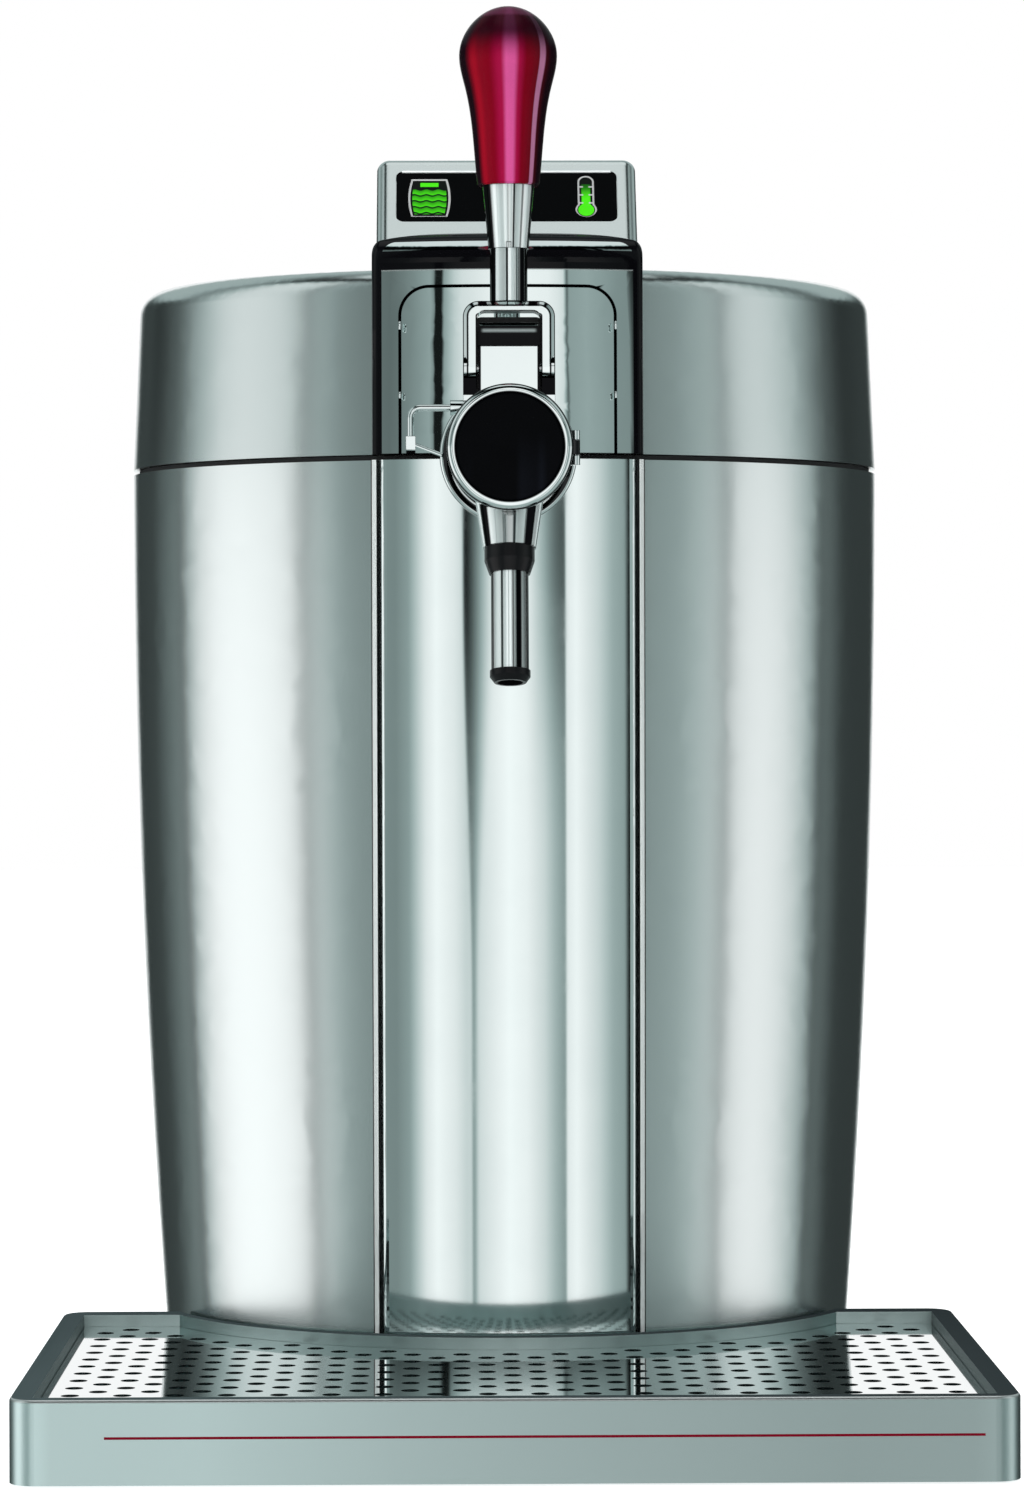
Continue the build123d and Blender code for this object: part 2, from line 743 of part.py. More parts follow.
fan_screw_places = [
    (x * fan_screw_offset, cooler_z + z * fan_screw_offset)
    for x in (-1, 1) for z in (-1, 1)
]
with BuildPart() as fan_frame:
    with BuildSketch(Plane.XZ.offset(-(fan_y + fan_depth))):
        with Locations((0, cooler_z)):
            RectangleRounded(fan_side, fan_side, fan_corner)
            Circle(fan_bore, mode=Mode.SUBTRACT)
    extrude(amount=fan_depth)
    with BuildSketch(Plane.XZ.offset(-(fan_y + fan_depth))):
        with Locations((0, cooler_z)):
            Circle(fan_boss)
            Rectangle(2 * fan_bore + fan_corner, fan_strut)
            Rectangle(fan_strut, 2 * fan_bore + fan_corner)
    extrude(amount=fan_boss_thick)
    add(drum(fan_shaft + shaft_play, fan_y, fan_y + fan_depth + 1, 0, cooler_z), mode=Mode.SUBTRACT)
    for x, z in fan_screw_places:
        add(drum(screw_radius + shaft_play, fan_y - 1, fan_y + fan_depth + 1, x, z), mode=Mode.SUBTRACT)

with BuildPart() as fan_screws:
    for x, z in fan_screw_places:
        add(screw(fan_y + fan_depth, fan_depth, x, z))

hub_back_y = fan_y + fan_depth - fan_boss_thick - running_gap
with BuildPart() as fan_rotor:
    add(drum(fan_hub, fan_y + 2, hub_back_y, 0, cooler_z))
    add(drum(fan_shaft, fan_y + 2, fan_y + fan_depth - 1, 0, cooler_z))
    for number in range(fan_blades):
        turn = 360 / fan_blades * number
        across = Plane(
            origin=(0, (fan_y + 2 + hub_back_y) / 2, cooler_z),
            x_dir=(0, 1, 0),
            z_dir=(math.cos(math.radians(turn)), 0, math.sin(math.radians(turn))),
        )
        with BuildSketch(across.offset(fan_hub - 1)):
            Rectangle(fan_blade_wide, fan_blade_thick, rotation=fan_blade_twist)
        extrude(amount=blade_reach - fan_hub + 1)

# --------------------------------------------------------------------------- hinge
with BuildPart() as body_hinge_leaf:
    for side in (-1, 1):
        inner, outer = sorted((side * hinge_middle, side * hinge_half))
        add(rod(hinge_radius, inner, outer, hinge_y, parting_z))
    add(box_between((-hinge_half, rear_y, parting_z - hinge_leaf_gap - hinge_leaf_tall),
                    (hinge_half, rear_y + hinge_leaf_thick, parting_z - hinge_leaf_gap)))
    for side in (-1, 1):
        inner, outer = sorted((side * hinge_middle, side * hinge_half))
        add(box_between((inner, rear_y, parting_z - hinge_leaf_gap),
                        (outer, rear_y + hinge_leaf_thick, parting_z)))
    add(rod(hinge_pin_radius, -hinge_half - 1, hinge_half + 1, hinge_y, parting_z), mode=Mode.SUBTRACT)
    for x, z in body_leaf_places:
        add(drum(screw_radius + shaft_play, rear_y - 1, hinge_y, x, z), mode=Mode.SUBTRACT)

with BuildPart() as lid_hinge_leaf:
    knuckle_half = hinge_middle - running_gap
    add(rod(hinge_radius, -knuckle_half, knuckle_half, hinge_y, parting_z))
    add(box_between((-knuckle_half, rear_y, parting_z),
                    (knuckle_half, rear_y + hinge_leaf_thick, parting_z + hinge_leaf_gap)))
    add(box_between((-hinge_half, rear_y, parting_z + hinge_leaf_gap),
                    (hinge_half, rear_y + hinge_leaf_thick, parting_z + hinge_leaf_gap + hinge_leaf_tall)))
    add(rod(hinge_pin_radius + shaft_play, -hinge_half, hinge_half, hinge_y, parting_z), mode=Mode.SUBTRACT)
    for x, z in lid_leaf_places:
        add(drum(screw_radius + shaft_play, rear_y - 1, hinge_y, x, z), mode=Mode.SUBTRACT)

with BuildPart() as hinge_pin:
    add(rod(hinge_pin_radius, -hinge_half - 1, hinge_half + 1, hinge_y, parting_z))

with BuildPart() as body_hinge_screws:
    for x, z in body_leaf_places:
        add(screw(rear_y + hinge_leaf_thick, hinge_leaf_thick + wall, x, z))

with BuildPart() as lid_hinge_screws:
    for x, z in lid_leaf_places:
        add(screw(rear_y + hinge_leaf_thick, hinge_leaf_thick + wall, x, z))

# --------------------------------------------------------------------------- lid
tap_screw_places = [(side * tap_screw_x, tap_screw_z) for side in (-1, 1)]
with BuildPart() as lid_shell:
    add(lid_block(lid_bottom))
    add(lid_block(lid_bottom - 1, -wall), mode=Mode.SUBTRACT)
    for x, z in lid_leaf_places:
        add(drum(screw_radius + shaft_play, inside_rear - 1, rear_y + 1, x, z), mode=Mode.SUBTRACT)
    for x, z in tap_screw_places:
        add(drum(screw_radius + shaft_play, front_y - 1, front_y + 2 * wall, x, z), mode=Mode.SUBTRACT)
    add(drum(tube_way, front_y - 1, front_y + 2 * wall, 0, tube_way_z), mode=Mode.SUBTRACT)
    add(post(tube_way, lid_top - 2 * wall, lid_top + 1, [(0, panel_y + panel_cap_depth + display_back / 2)]),
        mode=Mode.SUBTRACT)

with BuildPart() as lid_liner:
    add(casing_block(lid_bottom, lid_bottom + liner_thick, -wall - fit_gap))
    add(dome_room(dish_radius, lid_bottom, dish_top, well_corner))
    add(dome_room(dish_radius - liner_thick, lid_bottom - 1, dish_top - liner_thick,
                  well_corner - liner_thick), mode=Mode.SUBTRACT)
    add(drum(tube_way, front_y, casing_y, 0, tube_way_z), mode=Mode.SUBTRACT)

foam_top = lid_top - lid_round - foam_gap
with BuildPart() as lid_foam:
    add(casing_block(lid_bottom + liner_thick, foam_top, -wall - foam_gap))
    add(post(dish_radius + face_gap, lid_bottom, dish_top + face_gap, [(0, casing_y)]), mode=Mode.SUBTRACT)
    add(drum(tube_way, front_y, casing_y, 0, tube_way_z), mode=Mode.SUBTRACT)
    add(
        box_between((-tap_screw_x - 2 * screw_head, front_y, tap_screw_z - 2 * screw_head),
                    (tap_screw_x + 2 * screw_head, front_y + 4 * wall, tap_screw_z + 2 * screw_head)),
        mode=Mode.SUBTRACT,
    )
    for x, z in lid_leaf_places:
        add(drum(screw_head, inside_rear - 2 * wall, rear_y, x, z), mode=Mode.SUBTRACT)

door_face_z = door_top + door_groove
with BuildPart() as panel_blank:
    add(casing_block(lid_bottom, panel_top, band_proud))
    fillet(panel_blank.faces().sort_by(Axis.Z)[-1].edges(), panel_cap_round)
    add(arch_block(panel_half, lid_bottom - 1, panel_top + 1, panel_corner,
                   panel_y - 1, panel_y + panel_cap_depth), mode=Mode.INTERSECT)
    side_edges = panel_blank.edges().filter_by(lambda edge: abs(edge.center().X) > door_half)
    front_edges = side_edges.filter_by(lambda edge: edge.center().Y < panel_y + panel_cap_depth - fit_gap)
    fillet(front_edges.filter_by(lambda edge: edge.center().Z > lid_bottom + 1), panel_round)
    add(lid_block(lid_bottom - 1, face_gap), mode=Mode.SUBTRACT)

with BuildPart() as upper_front_panel:
    add(panel_blank.part)
    add(arch_block(door_half + door_groove, lid_bottom - 1, door_face_z, door_corner + door_groove,
                   panel_y - 1, panel_y + panel_cap_depth + 1), mode=Mode.SUBTRACT)

with BuildPart() as tap_panel:
    add(panel_blank.part)
    add(arch_block(door_half, lid_bottom - 1, door_top, door_corner,
                   panel_y - 1, panel_y + panel_cap_depth + 1), mode=Mode.INTERSECT)
    add(box_between((-tap_boss_half - fit_gap, panel_y - 1, lid_bottom - 1),
                    (tap_boss_half + fit_gap, panel_y + panel_cap_depth, tap_boss_top + fit_gap)),
        mode=Mode.SUBTRACT)
    add(box_between((-door_notch_x - door_notch_half, panel_y - 1, lid_bottom - 1),
                    (-door_notch_x + door_notch_half, panel_y + panel_cap_depth,
                     lid_bottom + door_notch_tall)), mode=Mode.SUBTRACT)

# --------------------------------------------------------------------------- display
slope_top = (
    panel_y + panel_cap_depth + display_slope * slope_sine,
    display_foot_z + display_slope * slope_cosine,
)
display_outline = [
    (panel_y + panel_cap_depth, lid_top - lid_round),
    (panel_y + panel_cap_depth, display_foot_z),
    slope_top,
    (slope_top[0] + display_crest, slope_top[1]),
    (panel_y + panel_cap_depth + display_back, lid_top),
    (panel_y + panel_cap_depth + display_back, lid_top - lid_round),
]
window_middle = (window_low + window_high) / 2
window_tall = window_high - window_low
with BuildPart() as display_housing:
    with BuildSketch(Plane.YZ.offset(-display_half)):
        with BuildLine():
            Polyline(*display_outline, close=True)
        make_face()
    extrude(amount=2 * display_half)
    high_edges = display_housing.edges().filter_by(lambda edge: edge.center().Z > lid_top + display_wall)
    fillet(high_edges.filter_by(lambda edge: edge.bounding_box().max.Y > panel_y + panel_cap_depth + 1),
           display_corner)
    with BuildSketch(Plane.YZ.offset(-display_half + display_wall)):
        with BuildLine():
            Polyline(*display_outline, close=True)
        make_face()
        offset(amount=-display_wall, kind=Kind.INTERSECTION)
    extrude(amount=2 * (display_half - display_wall), mode=Mode.SUBTRACT)
    with BuildSketch(slope_plane):
        with Locations((0, window_middle)):
            RectangleRounded(2 * (window_half + fit_gap), window_tall + 2 * fit_gap, window_corner)
    extrude(amount=-window_depth, mode=Mode.SUBTRACT)
    with BuildSketch(slope_plane):
        with Locations((0, window_middle)):
            Rectangle(2 * (window_half - window_lip), window_tall - 2 * window_lip)
    extrude(amount=-2 * display_wall, mode=Mode.SUBTRACT)
    add(lid_block(lid_bottom, face_gap), mode=Mode.SUBTRACT)

with BuildPart() as display_board:
    with BuildSketch(slope_plane.offset(-display_wall)):
        with Locations((0, window_middle)):
            Rectangle(2 * window_half, window_tall - window_lip)
    extrude(amount=-board_thick)

symbol_foot = window_low + keg_symbol_low
symbol_head = symbol_foot + keg_symbol_tall
symbol_middle = symbol_foot + keg_symbol_tall / 2
with BuildSketch() as keg_symbol:
    with BuildLine():
        left_foot = (keg_symbol_x - keg_symbol_waist / 2, symbol_foot)
        right_foot = (keg_symbol_x + keg_symbol_waist / 2, symbol_foot)
        right_head = (keg_symbol_x + keg_symbol_waist / 2, symbol_head)
        left_head = (keg_symbol_x - keg_symbol_waist / 2, symbol_head)
        Line(left_foot, right_foot)
        ThreePointArc(right_foot, (keg_symbol_x + keg_symbol_wide / 2, symbol_middle), right_head)
        Line(right_head, left_head)
        ThreePointArc(left_head, (keg_symbol_x - keg_symbol_wide / 2, symbol_middle), left_foot)
    make_face()

thermometer_foot = window_low + thermometer_low
with BuildSketch() as thermometer_symbol:
    with Locations((thermometer_x, thermometer_foot + thermometer_bulb)):
        Circle(thermometer_bulb)
    with Locations((thermometer_x, thermometer_foot + thermometer_tall / 2)):
        SlotOverall(thermometer_tall, 2 * thermometer_tube, rotation=90)

symbol_plane = slope_plane.offset(-symbol_depth)
with BuildPart() as volume_symbol:
    add(symbol_plane * keg_symbol.sketch)
    extrude(amount=symbol_depth)

with BuildPart() as temperature_symbol:
    add(symbol_plane * thermometer_symbol.sketch)
    extrude(amount=symbol_depth)

with BuildPart() as display_window:
    with BuildSketch(slope_plane):
        with Locations((0, window_middle)):
            RectangleRounded(2 * window_half, window_tall, window_corner - fit_gap)
    extrude(amount=-window_depth)
    for symbol in (keg_symbol, thermometer_symbol):
        add(symbol_plane * offset(symbol.sketch, amount=face_gap, mode=Mode.PRIVATE))
        extrude(amount=symbol_depth + 1, mode=Mode.SUBTRACT)

# --------------------------------------------------------------------------- tap
with BuildPart() as tap_flange:
    add(drum(tap_flange_radius, drum_back_y, flange_y, 0, parting_z))
    fillet(tap_flange.faces().sort_by(Axis.Y)[0].edges(), tray_round)
    add(box_between((-tap_boss_half, flange_y, tap_boss_low), (tap_boss_half, front_y + wall, tap_boss_top)))
    add(lid_block(lid_bottom - 1, face_gap), mode=Mode.SUBTRACT)
    for x, z in tap_screw_places:
        add(drum(screw_radius + shaft_play, drum_back_y + 1, rear_y, x, z), mode=Mode.SUBTRACT)
    add(drum(tube_way, drum_back_y - 1, rear_y, 0, tube_way_z), mode=Mode.SUBTRACT)

with BuildPart() as tap_screws:
    for x, z in tap_screw_places:
        add(screw(inner_front(abs(x) + screw_head, z + screw_head), tap_screw_reach, x, z))

knuckle_spans = [
    (parting_z + side * (cover_knuckle_half + running_gap / 2), parting_z + side * cover_hinge_half)
    for side in (-1, 1)
]
with BuildPart() as tap_body:
    add(drum(drum_radius, drum_front_y, drum_back_y, 0, parting_z))
    add(box_between((-neck_half, pivot_y - neck_depth / 2, parting_z),
                    (neck_half, pivot_y + neck_depth / 2, neck_top)))
    for side in (-1, 1):
        left, right = sorted((side * (fork_inner + fit_gap), side * fork_half))
        add(box_between((left, pivot_y - fork_depth / 2, parting_z),
                        (right, pivot_y + fork_depth / 2, cheek_top)))
        left, right = sorted((side * fork_inner, side * (fork_half + 1)))
        add(rod(fork_depth / 2 + running_gap, left, right, pivot_y, lever_z), mode=Mode.SUBTRACT)
    add(rod(latch_boss_radius, -latch_boss_x, -latch_root_x, panel_y - latch_y, latch_z))
    for span in knuckle_spans:
        add(post(cover_knuckle, min(span), max(span), [(cover_hinge_x, seam_y)]))
        add(box_between((drum_radius - 3, drum_front_y, min(span)),
                        (cover_hinge_x, seam_y + 2 * cover_knuckle, max(span))))
    add(drum(drum_cavity, drum_front_y - 1, drum_front_y + drum_cavity_depth, 0, parting_z),
        mode=Mode.SUBTRACT)
    add(drum(tube_way, drum_front_y, drum_back_y + 1, 0, tube_way_z), mode=Mode.SUBTRACT)
    add(revolved([(0, 0), (spout_bore, 0), (spout_bore, -2 * drum_radius), (0, -2 * drum_radius)],
                 spout_plane), mode=Mode.SUBTRACT)
    add(rod(lever_pin_radius, -fork_half, fork_half, pivot_y, lever_z), mode=Mode.SUBTRACT)
    add(rod(latch_radius + shaft_play, -latch_boss_x - 1, -latch_root_x - 1, panel_y - latch_y, latch_z),
        mode=Mode.SUBTRACT)
    add(post(cover_pin_radius, parting_z - cover_hinge_half - 1, parting_z + cover_hinge_half + 1,
             [(cover_hinge_x, seam_y)]), mode=Mode.SUBTRACT)
    add(post(pinch_stem + shaft_play, pinch_low - pinch_stem_reach - 1, neck_top + 1,
             [(0, pivot_y - pinch_stem_y), (0, pivot_y + pinch_stem_y)]), mode=Mode.SUBTRACT)

with BuildPart() as valve_housing:
    add(arch_block(guard_half, parting_z, guard_top, guard_corner, panel_y - guard_front, drum_back_y))
    add(drum(drum_radius + face_gap, drum_front_y, drum_back_y + 1, 0, parting_z), mode=Mode.SUBTRACT)

with BuildPart() as spout_cone:
    add(revolved([(spout_bore, -spout_cone_start), (spout_cone_high, -spout_cone_start),
                  (spout_cone_low, -spout_cone_end), (spout_bore, -spout_cone_end)], spout_plane))
    add(drum(drum_radius + face_gap, drum_front_y - 1, drum_back_y + 1, 0, parting_z), mode=Mode.SUBTRACT)

with BuildPart() as spout_collar:
    collar_radius = spout_cone_low - spout_collar_inset
    add(revolved([(spout_radius + face_gap, -spout_cone_end), (collar_radius, -spout_cone_end),
                  (collar_radius, -(spout_cone_end + spout_collar_end) / 2),
                  (spout_collar_low, -spout_collar_end), (spout_radius + face_gap, -spout_collar_end)],
                 spout_plane))

with BuildPart() as spout_tube:
    add(revolved([(spout_bore, -spout_cone_end), (spout_radius, -spout_cone_end), (spout_radius, -spout_end),
                  (spout_bore, -spout_end)], spout_plane))

with BuildPart() as spout_tip:
    add(revolved([(spout_bore, -spout_end), (spout_radius + spout_tip_proud, -spout_end),
                  (spout_radius + spout_tip_proud, -(spout_tip_end - 2)), (spout_radius - 1, -spout_tip_end),
                  (spout_bore, -spout_tip_end)], spout_plane))

# --------------------------------------------------------------------------- lever
with BuildPart() as lever_fork:
    add(arch_block(fork_half, lever_z, fork_top, fork_corner,
                   pivot_y - fork_depth / 2, pivot_y + fork_depth / 2))
    front_face = lever_fork.faces().sort_by(Axis.Y)[0]
    front_loop = front_face.edges().filter_by(lambda edge: edge.center().Z > lever_z + 1)
    chamfer(front_loop, fork_bevel)
    add(rod(fork_depth / 2, -fork_half, fork_half, pivot_y, lever_z))
    add(arch_block(fork_inner, lever_z - fork_depth, fork_top - fork_bridge, fork_inner_corner,
                   pivot_y - fork_depth, pivot_y + fork_depth), mode=Mode.SUBTRACT)
    add(rod(lever_pin_radius + shaft_play, -fork_half - 1, fork_half + 1, pivot_y, lever_z),
        mode=Mode.SUBTRACT)

with BuildPart() as lever_pin:
    add(rod(lever_pin_radius, -lever_pin_half, lever_pin_half, pivot_y, lever_z))

stem_axis = Plane(origin=(0, pivot_y, 0), x_dir=(1, 0, 0), z_dir=(0, -1, 0))
with BuildPart() as lever_stem:
    core_top = ferrule_top + knob_low_radius
    add(revolved([(0, fork_top), (stem_radius, fork_top), (stem_radius, stem_top),
                  (stem_core, stem_top), (stem_core, core_top), (0, core_top)], stem_axis))

with BuildPart() as lever_ferrule:
    add(revolved([(stem_core + face_gap, stem_top), (ferrule_low_radius, stem_top),
                  (ferrule_high_radius, ferrule_top), (stem_core + face_gap, ferrule_top)], stem_axis))
    add(
        box_between((-ferrule_notch_half, pivot_y - ferrule_high_radius, stem_top - 1),
                    (ferrule_notch_half, pivot_y - stem_radius + ferrule_notch_half,
                     stem_top + ferrule_notch_tall)),
        mode=Mode.SUBTRACT,
    )

with BuildPart() as lever_knob:
    with BuildSketch(stem_axis):
        with BuildLine():
            foot = (knob_low_radius - knob_foot_round, ferrule_top)
            hip = (knob_low_radius, ferrule_top + knob_foot_round)
            shoulder = (knob_radius - knob_shoulder_in, ferrule_top + knob_shoulder)
            Line((0, ferrule_top), foot)
            Line(foot, hip)
            Spline(hip, shoulder, (knob_radius, knob_widest), (0, knob_top),
                   tangents=[(knob_flare, 1), (-1, 0)])
            Line((0, knob_top), (0, ferrule_top))
        make_face()
    revolve(axis=Axis(stem_axis.origin, stem_axis.y_dir))
    add(post(stem_core + face_gap, ferrule_top - 1, core_top + face_gap, [(0, pivot_y)]),
        mode=Mode.SUBTRACT)

with BuildPart() as pinch_block:
    add(box_between((-pinch_half, pivot_y - pinch_depth / 2, pinch_low),
                    (pinch_half, pivot_y + pinch_depth / 2, pinch_high)))
    add(post(pinch_stem, pinch_low - pinch_stem_reach, pinch_low + 1,
             [(0, pivot_y - pinch_stem_y), (0, pivot_y + pinch_stem_y)]))
    add(rod(bar_radius + face_gap, -pinch_half - 1, pinch_half + 1, pivot_y, bar_z), mode=Mode.SUBTRACT)

with BuildPart() as pinch_bar:
    add(rod(bar_radius, -bar_half, bar_half, pivot_y, bar_z))

# --------------------------------------------------------------------------- tap cover and latch
with BuildPart() as tap_cover:
    add(drum(cover_radius, cover_front_y, seam_y, 0, parting_z))
    fillet(tap_cover.faces().sort_by(Axis.Y)[0].edges(), cover_round)
    add(post(cover_knuckle, parting_z - cover_knuckle_half, parting_z + cover_knuckle_half,
             [(cover_hinge_x, seam_y)]))
    add(box_between((cover_radius - 2, cover_front_y + cover_plate, parting_z - cover_knuckle_half),
                    (cover_hinge_x, seam_y, parting_z + cover_knuckle_half)))
    add(drum(cover_radius - cover_wall, cover_front_y + cover_plate + badge_depth, seam_y + 1, 0, parting_z),
        mode=Mode.SUBTRACT)
    add(drum(badge_radius + face_gap, cover_front_y - 1, cover_front_y + badge_depth, 0, parting_z),
        mode=Mode.SUBTRACT)
    for span in knuckle_spans:
        add(post(cover_knuckle + running_gap, min(span) - fit_gap, max(span) + fit_gap,
                 [(cover_hinge_x, seam_y)]), mode=Mode.SUBTRACT)
    add(post(cover_pin_radius + shaft_play, parting_z - cover_hinge_half, parting_z + cover_hinge_half,
             [(cover_hinge_x, seam_y)]), mode=Mode.SUBTRACT)

with BuildPart() as cover_badge:
    add(drum(badge_radius, cover_front_y, cover_front_y + badge_depth, 0, parting_z))
    fillet(cover_badge.faces().sort_by(Axis.Y)[0].edges(), badge_depth / 2)

with BuildPart() as cover_hinge_pin:
    add(post(cover_pin_radius, parting_z - cover_hinge_half, parting_z + cover_hinge_half,
             [(cover_hinge_x, seam_y)]))

wire_y = panel_y - latch_y
with BuildPart() as cover_latch:
    with BuildLine() as wire:
        FilletPolyline((-latch_root_x - 2, wire_y, latch_z), (-latch_outer_x, wire_y, latch_z),
                       (-latch_outer_x, wire_y, latch_end_z), radius=latch_bend)
    with BuildSketch(Plane(origin=wire.line @ 0, z_dir=wire.line % 0)):
        Circle(latch_radius)
    sweep()
    add(box_between((-latch_outer_x - latch_grip_half, wire_y - latch_grip_half, latch_grip_low),
                    (-latch_outer_x + latch_grip_half, wire_y + latch_grip_half, latch_end_z)))
    grip_middle = Vector(-latch_outer_x, wire_y, (latch_end_z + latch_grip_low) / 2)
    link_end = Vector(-latch_link_x, panel_y - latch_link_y, latch_link_z)
    with BuildSketch(Plane(origin=grip_middle, z_dir=link_end - grip_middle)):
        Circle(latch_link_radius)
    extrude(amount=(link_end - grip_middle).length)

# --------------------------------------------------------------------------- drip tray
rim_loss = slimming(tray_height)
notch_across = half_width - rim_loss + tray_side_gap
notch_reach = front_reach - rim_loss + band_proud + tray_band_gap
tray_middle_y = (tray_front_y + tray_back_y) / 2


def notch_face(grow=0.0, grow_front=None):
    """Half ellipse round the casing, open at the back."""
    forward = grow if grow_front is None else grow_front
    with BuildSketch() as face:
        with BuildLine():
            EllipticalCenterArc((0, casing_y), notch_across + grow, notch_reach + forward, 180, arc_size=180)
            Line((-notch_across - grow, casing_y), (notch_across + grow, casing_y))
        make_face()
    return face.sketch


def tray_pocket(margin=0.0):
    """Plan of the tray's pocket inside its rims, less a margin all round."""
    with BuildSketch() as face:
        front = tray_front_y + tray_front_rim + margin
        back = tray_back_y - tray_back_rim - margin
        with Locations((0, (front + back) / 2)):
            Rectangle(2 * (tray_half - tray_rim - margin), back - front)
        add(notch_face(rim_side + margin, rim_front + margin), mode=Mode.SUBTRACT)
    return face.sketch


with BuildPart() as drip_tray:
    with BuildSketch(Plane.XY.offset(tray_foot)):
        with Locations((0, tray_middle_y)):
            RectangleRounded(2 * tray_half, tray_depth, tray_corner)
        add(notch_face(), mode=Mode.SUBTRACT)
    extrude(amount=tray_height - tray_foot)
    notch_start_y = casing_y - notch_reach - 1
    upper_edges = drip_tray.edges().group_by(Axis.Z)[-1]
    outer_edges = [
        edge for edge in upper_edges if edge.center().Y < tray_back_y - tray_corner
        and not (abs(edge.center().X) < notch_across - 1 and edge.center().Y > notch_start_y)
    ]
    fillet(outer_edges, tray_round)
    for side in (-1, 1):
        left, right = sorted((side * (tongue_x - tongue_half), side * (tongue_x + tongue_half)))
        root_y = casing_y - notch_reach * math.sqrt(1 - (tongue_x / notch_across) ** 2) - tongue_root
        add(box_between((left, root_y, tray_foot), (right, root_y + tongue_reach, foot_height - tongue_gap)))
    with BuildSketch(Plane.XY.offset(tray_height - grid_sunk - grid_thick)):
        add(tray_pocket())
    extrude(amount=grid_sunk + grid_thick + 1, mode=Mode.SUBTRACT)
    with BuildSketch(Plane.XY.offset(tray_foot + tray_floor)):
        add(tray_pocket(ledge))
    extrude(amount=tray_height, mode=Mode.SUBTRACT)

tray_foot_places = [
    (side * (tray_half - 3 * tray_foot_radius), y)
    for side in (-1, 1) for y in (tray_front_y + 3 * tray_foot_radius, tray_back_y - 3 * tray_foot_radius)
]
with BuildPart() as tray_feet:
    add(post(tray_foot_radius, 0, tray_foot, tray_foot_places))

grid_top = tray_height - grid_sunk
hole_places = []
for row in range(int((tray_depth - tray_back_rim - first_row) / (hole_pitch / 2)) + 1):
    y = tray_front_y + first_row + row * hole_pitch / 2
    shift = hole_pitch / 2 if row % 2 else 0.0
    columns = int(tray_half / hole_pitch) + 1
    for column in range(-columns, columns + 1):
        x = column * hole_pitch + shift
        edge = hole_radius + hole_margin
        across = (x / (notch_across + rim_side + edge)) ** 2
        along = ((y - casing_y) / (notch_reach + rim_front + edge)) ** 2
        inside = abs(x) < tray_half - tray_rim - edge and y < tray_back_y - tray_back_rim - edge
        if inside and (across + along > 1 or y > casing_y):
            hole_places.append((x, y))

with BuildPart() as drip_grid:
    with BuildSketch(Plane.XY.offset(grid_top - grid_thick)):
        add(tray_pocket(grid_play))
        with Locations(*hole_places):
            Circle(hole_radius, mode=Mode.SUBTRACT)
    extrude(amount=grid_thick)

# --------------------------------------------------------------------------- export
pieces = {
    "base_pan": base_pan,
    "feet": feet,
    "foot_screws": foot_screws,
    "power_board": power_board,
    "body_shell": body_shell,
    "rear_vent_panel": rear_vent_panel,
    "rear_panel_screws": rear_panel_screws,
    "mains_inlet": mains_inlet,
    "switch_bezel": switch_bezel,
    "power_switch": power_switch,
    "lower_front_plate": lower_front_plate,
    "band_trims": band_trims,
    "well_collar": well_collar,
    "cooling_well": cooling_well,
    "keg_rest_ring": keg_rest_ring,
    "lid_seal": lid_seal,
    "insulation_foam": insulation_foam,
    "cold_block": cold_block,
    "peltier_module": peltier_module,
    "heat_sink": heat_sink,
    "fan_frame": fan_frame,
    "fan_screws": fan_screws,
    "fan_rotor": fan_rotor,
    "body_hinge_leaf": body_hinge_leaf,
    "lid_hinge_leaf": lid_hinge_leaf,
    "hinge_pin": hinge_pin,
    "body_hinge_screws": body_hinge_screws,
    "lid_hinge_screws": lid_hinge_screws,
    "lid_shell": lid_shell,
    "lid_liner": lid_liner,
    "lid_foam": lid_foam,
    "upper_front_panel": upper_front_panel,
    "tap_panel": tap_panel,
    "display_housing": display_housing,
    "display_board": display_board,
    "display_window": display_window,
    "volume_symbol": volume_symbol,
    "temperature_symbol": temperature_symbol,
    "tap_flange": tap_flange,
    "tap_screws": tap_screws,
    "tap_body": tap_body,
    "valve_housing": valve_housing,
    "spout_cone": spout_cone,
    "spout_collar": spout_collar,
    "spout_tube": spout_tube,
    "spout_tip": spout_tip,
    "lever_fork": lever_fork,
    "lever_pin": lever_pin,
    "lever_stem": lever_stem,
    "lever_ferrule": lever_ferrule,
    "lever_knob": lever_knob,
    "pinch_block": pinch_block,
    "pinch_bar": pinch_bar,
    "tap_cover": tap_cover,
    "cover_badge": cover_badge,
    "cover_hinge_pin": cover_hinge_pin,
    "cover_latch": cover_latch,
    "drip_tray": drip_tray,
    "tray_feet": tray_feet,
    "drip_grid": drip_grid,
}

os.makedirs("parts", exist_ok=True)
for name, piece in pieces.items():
    piece.part.label = name
    export_step(piece.part, f"parts/{name}.step")
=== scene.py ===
"""Looks of the counter-top keg dispenser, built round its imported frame.

Metres, +Z up, the tap towards -Y.
"""

import json
import math

import bpy
from mathutils import Matrix, Vector


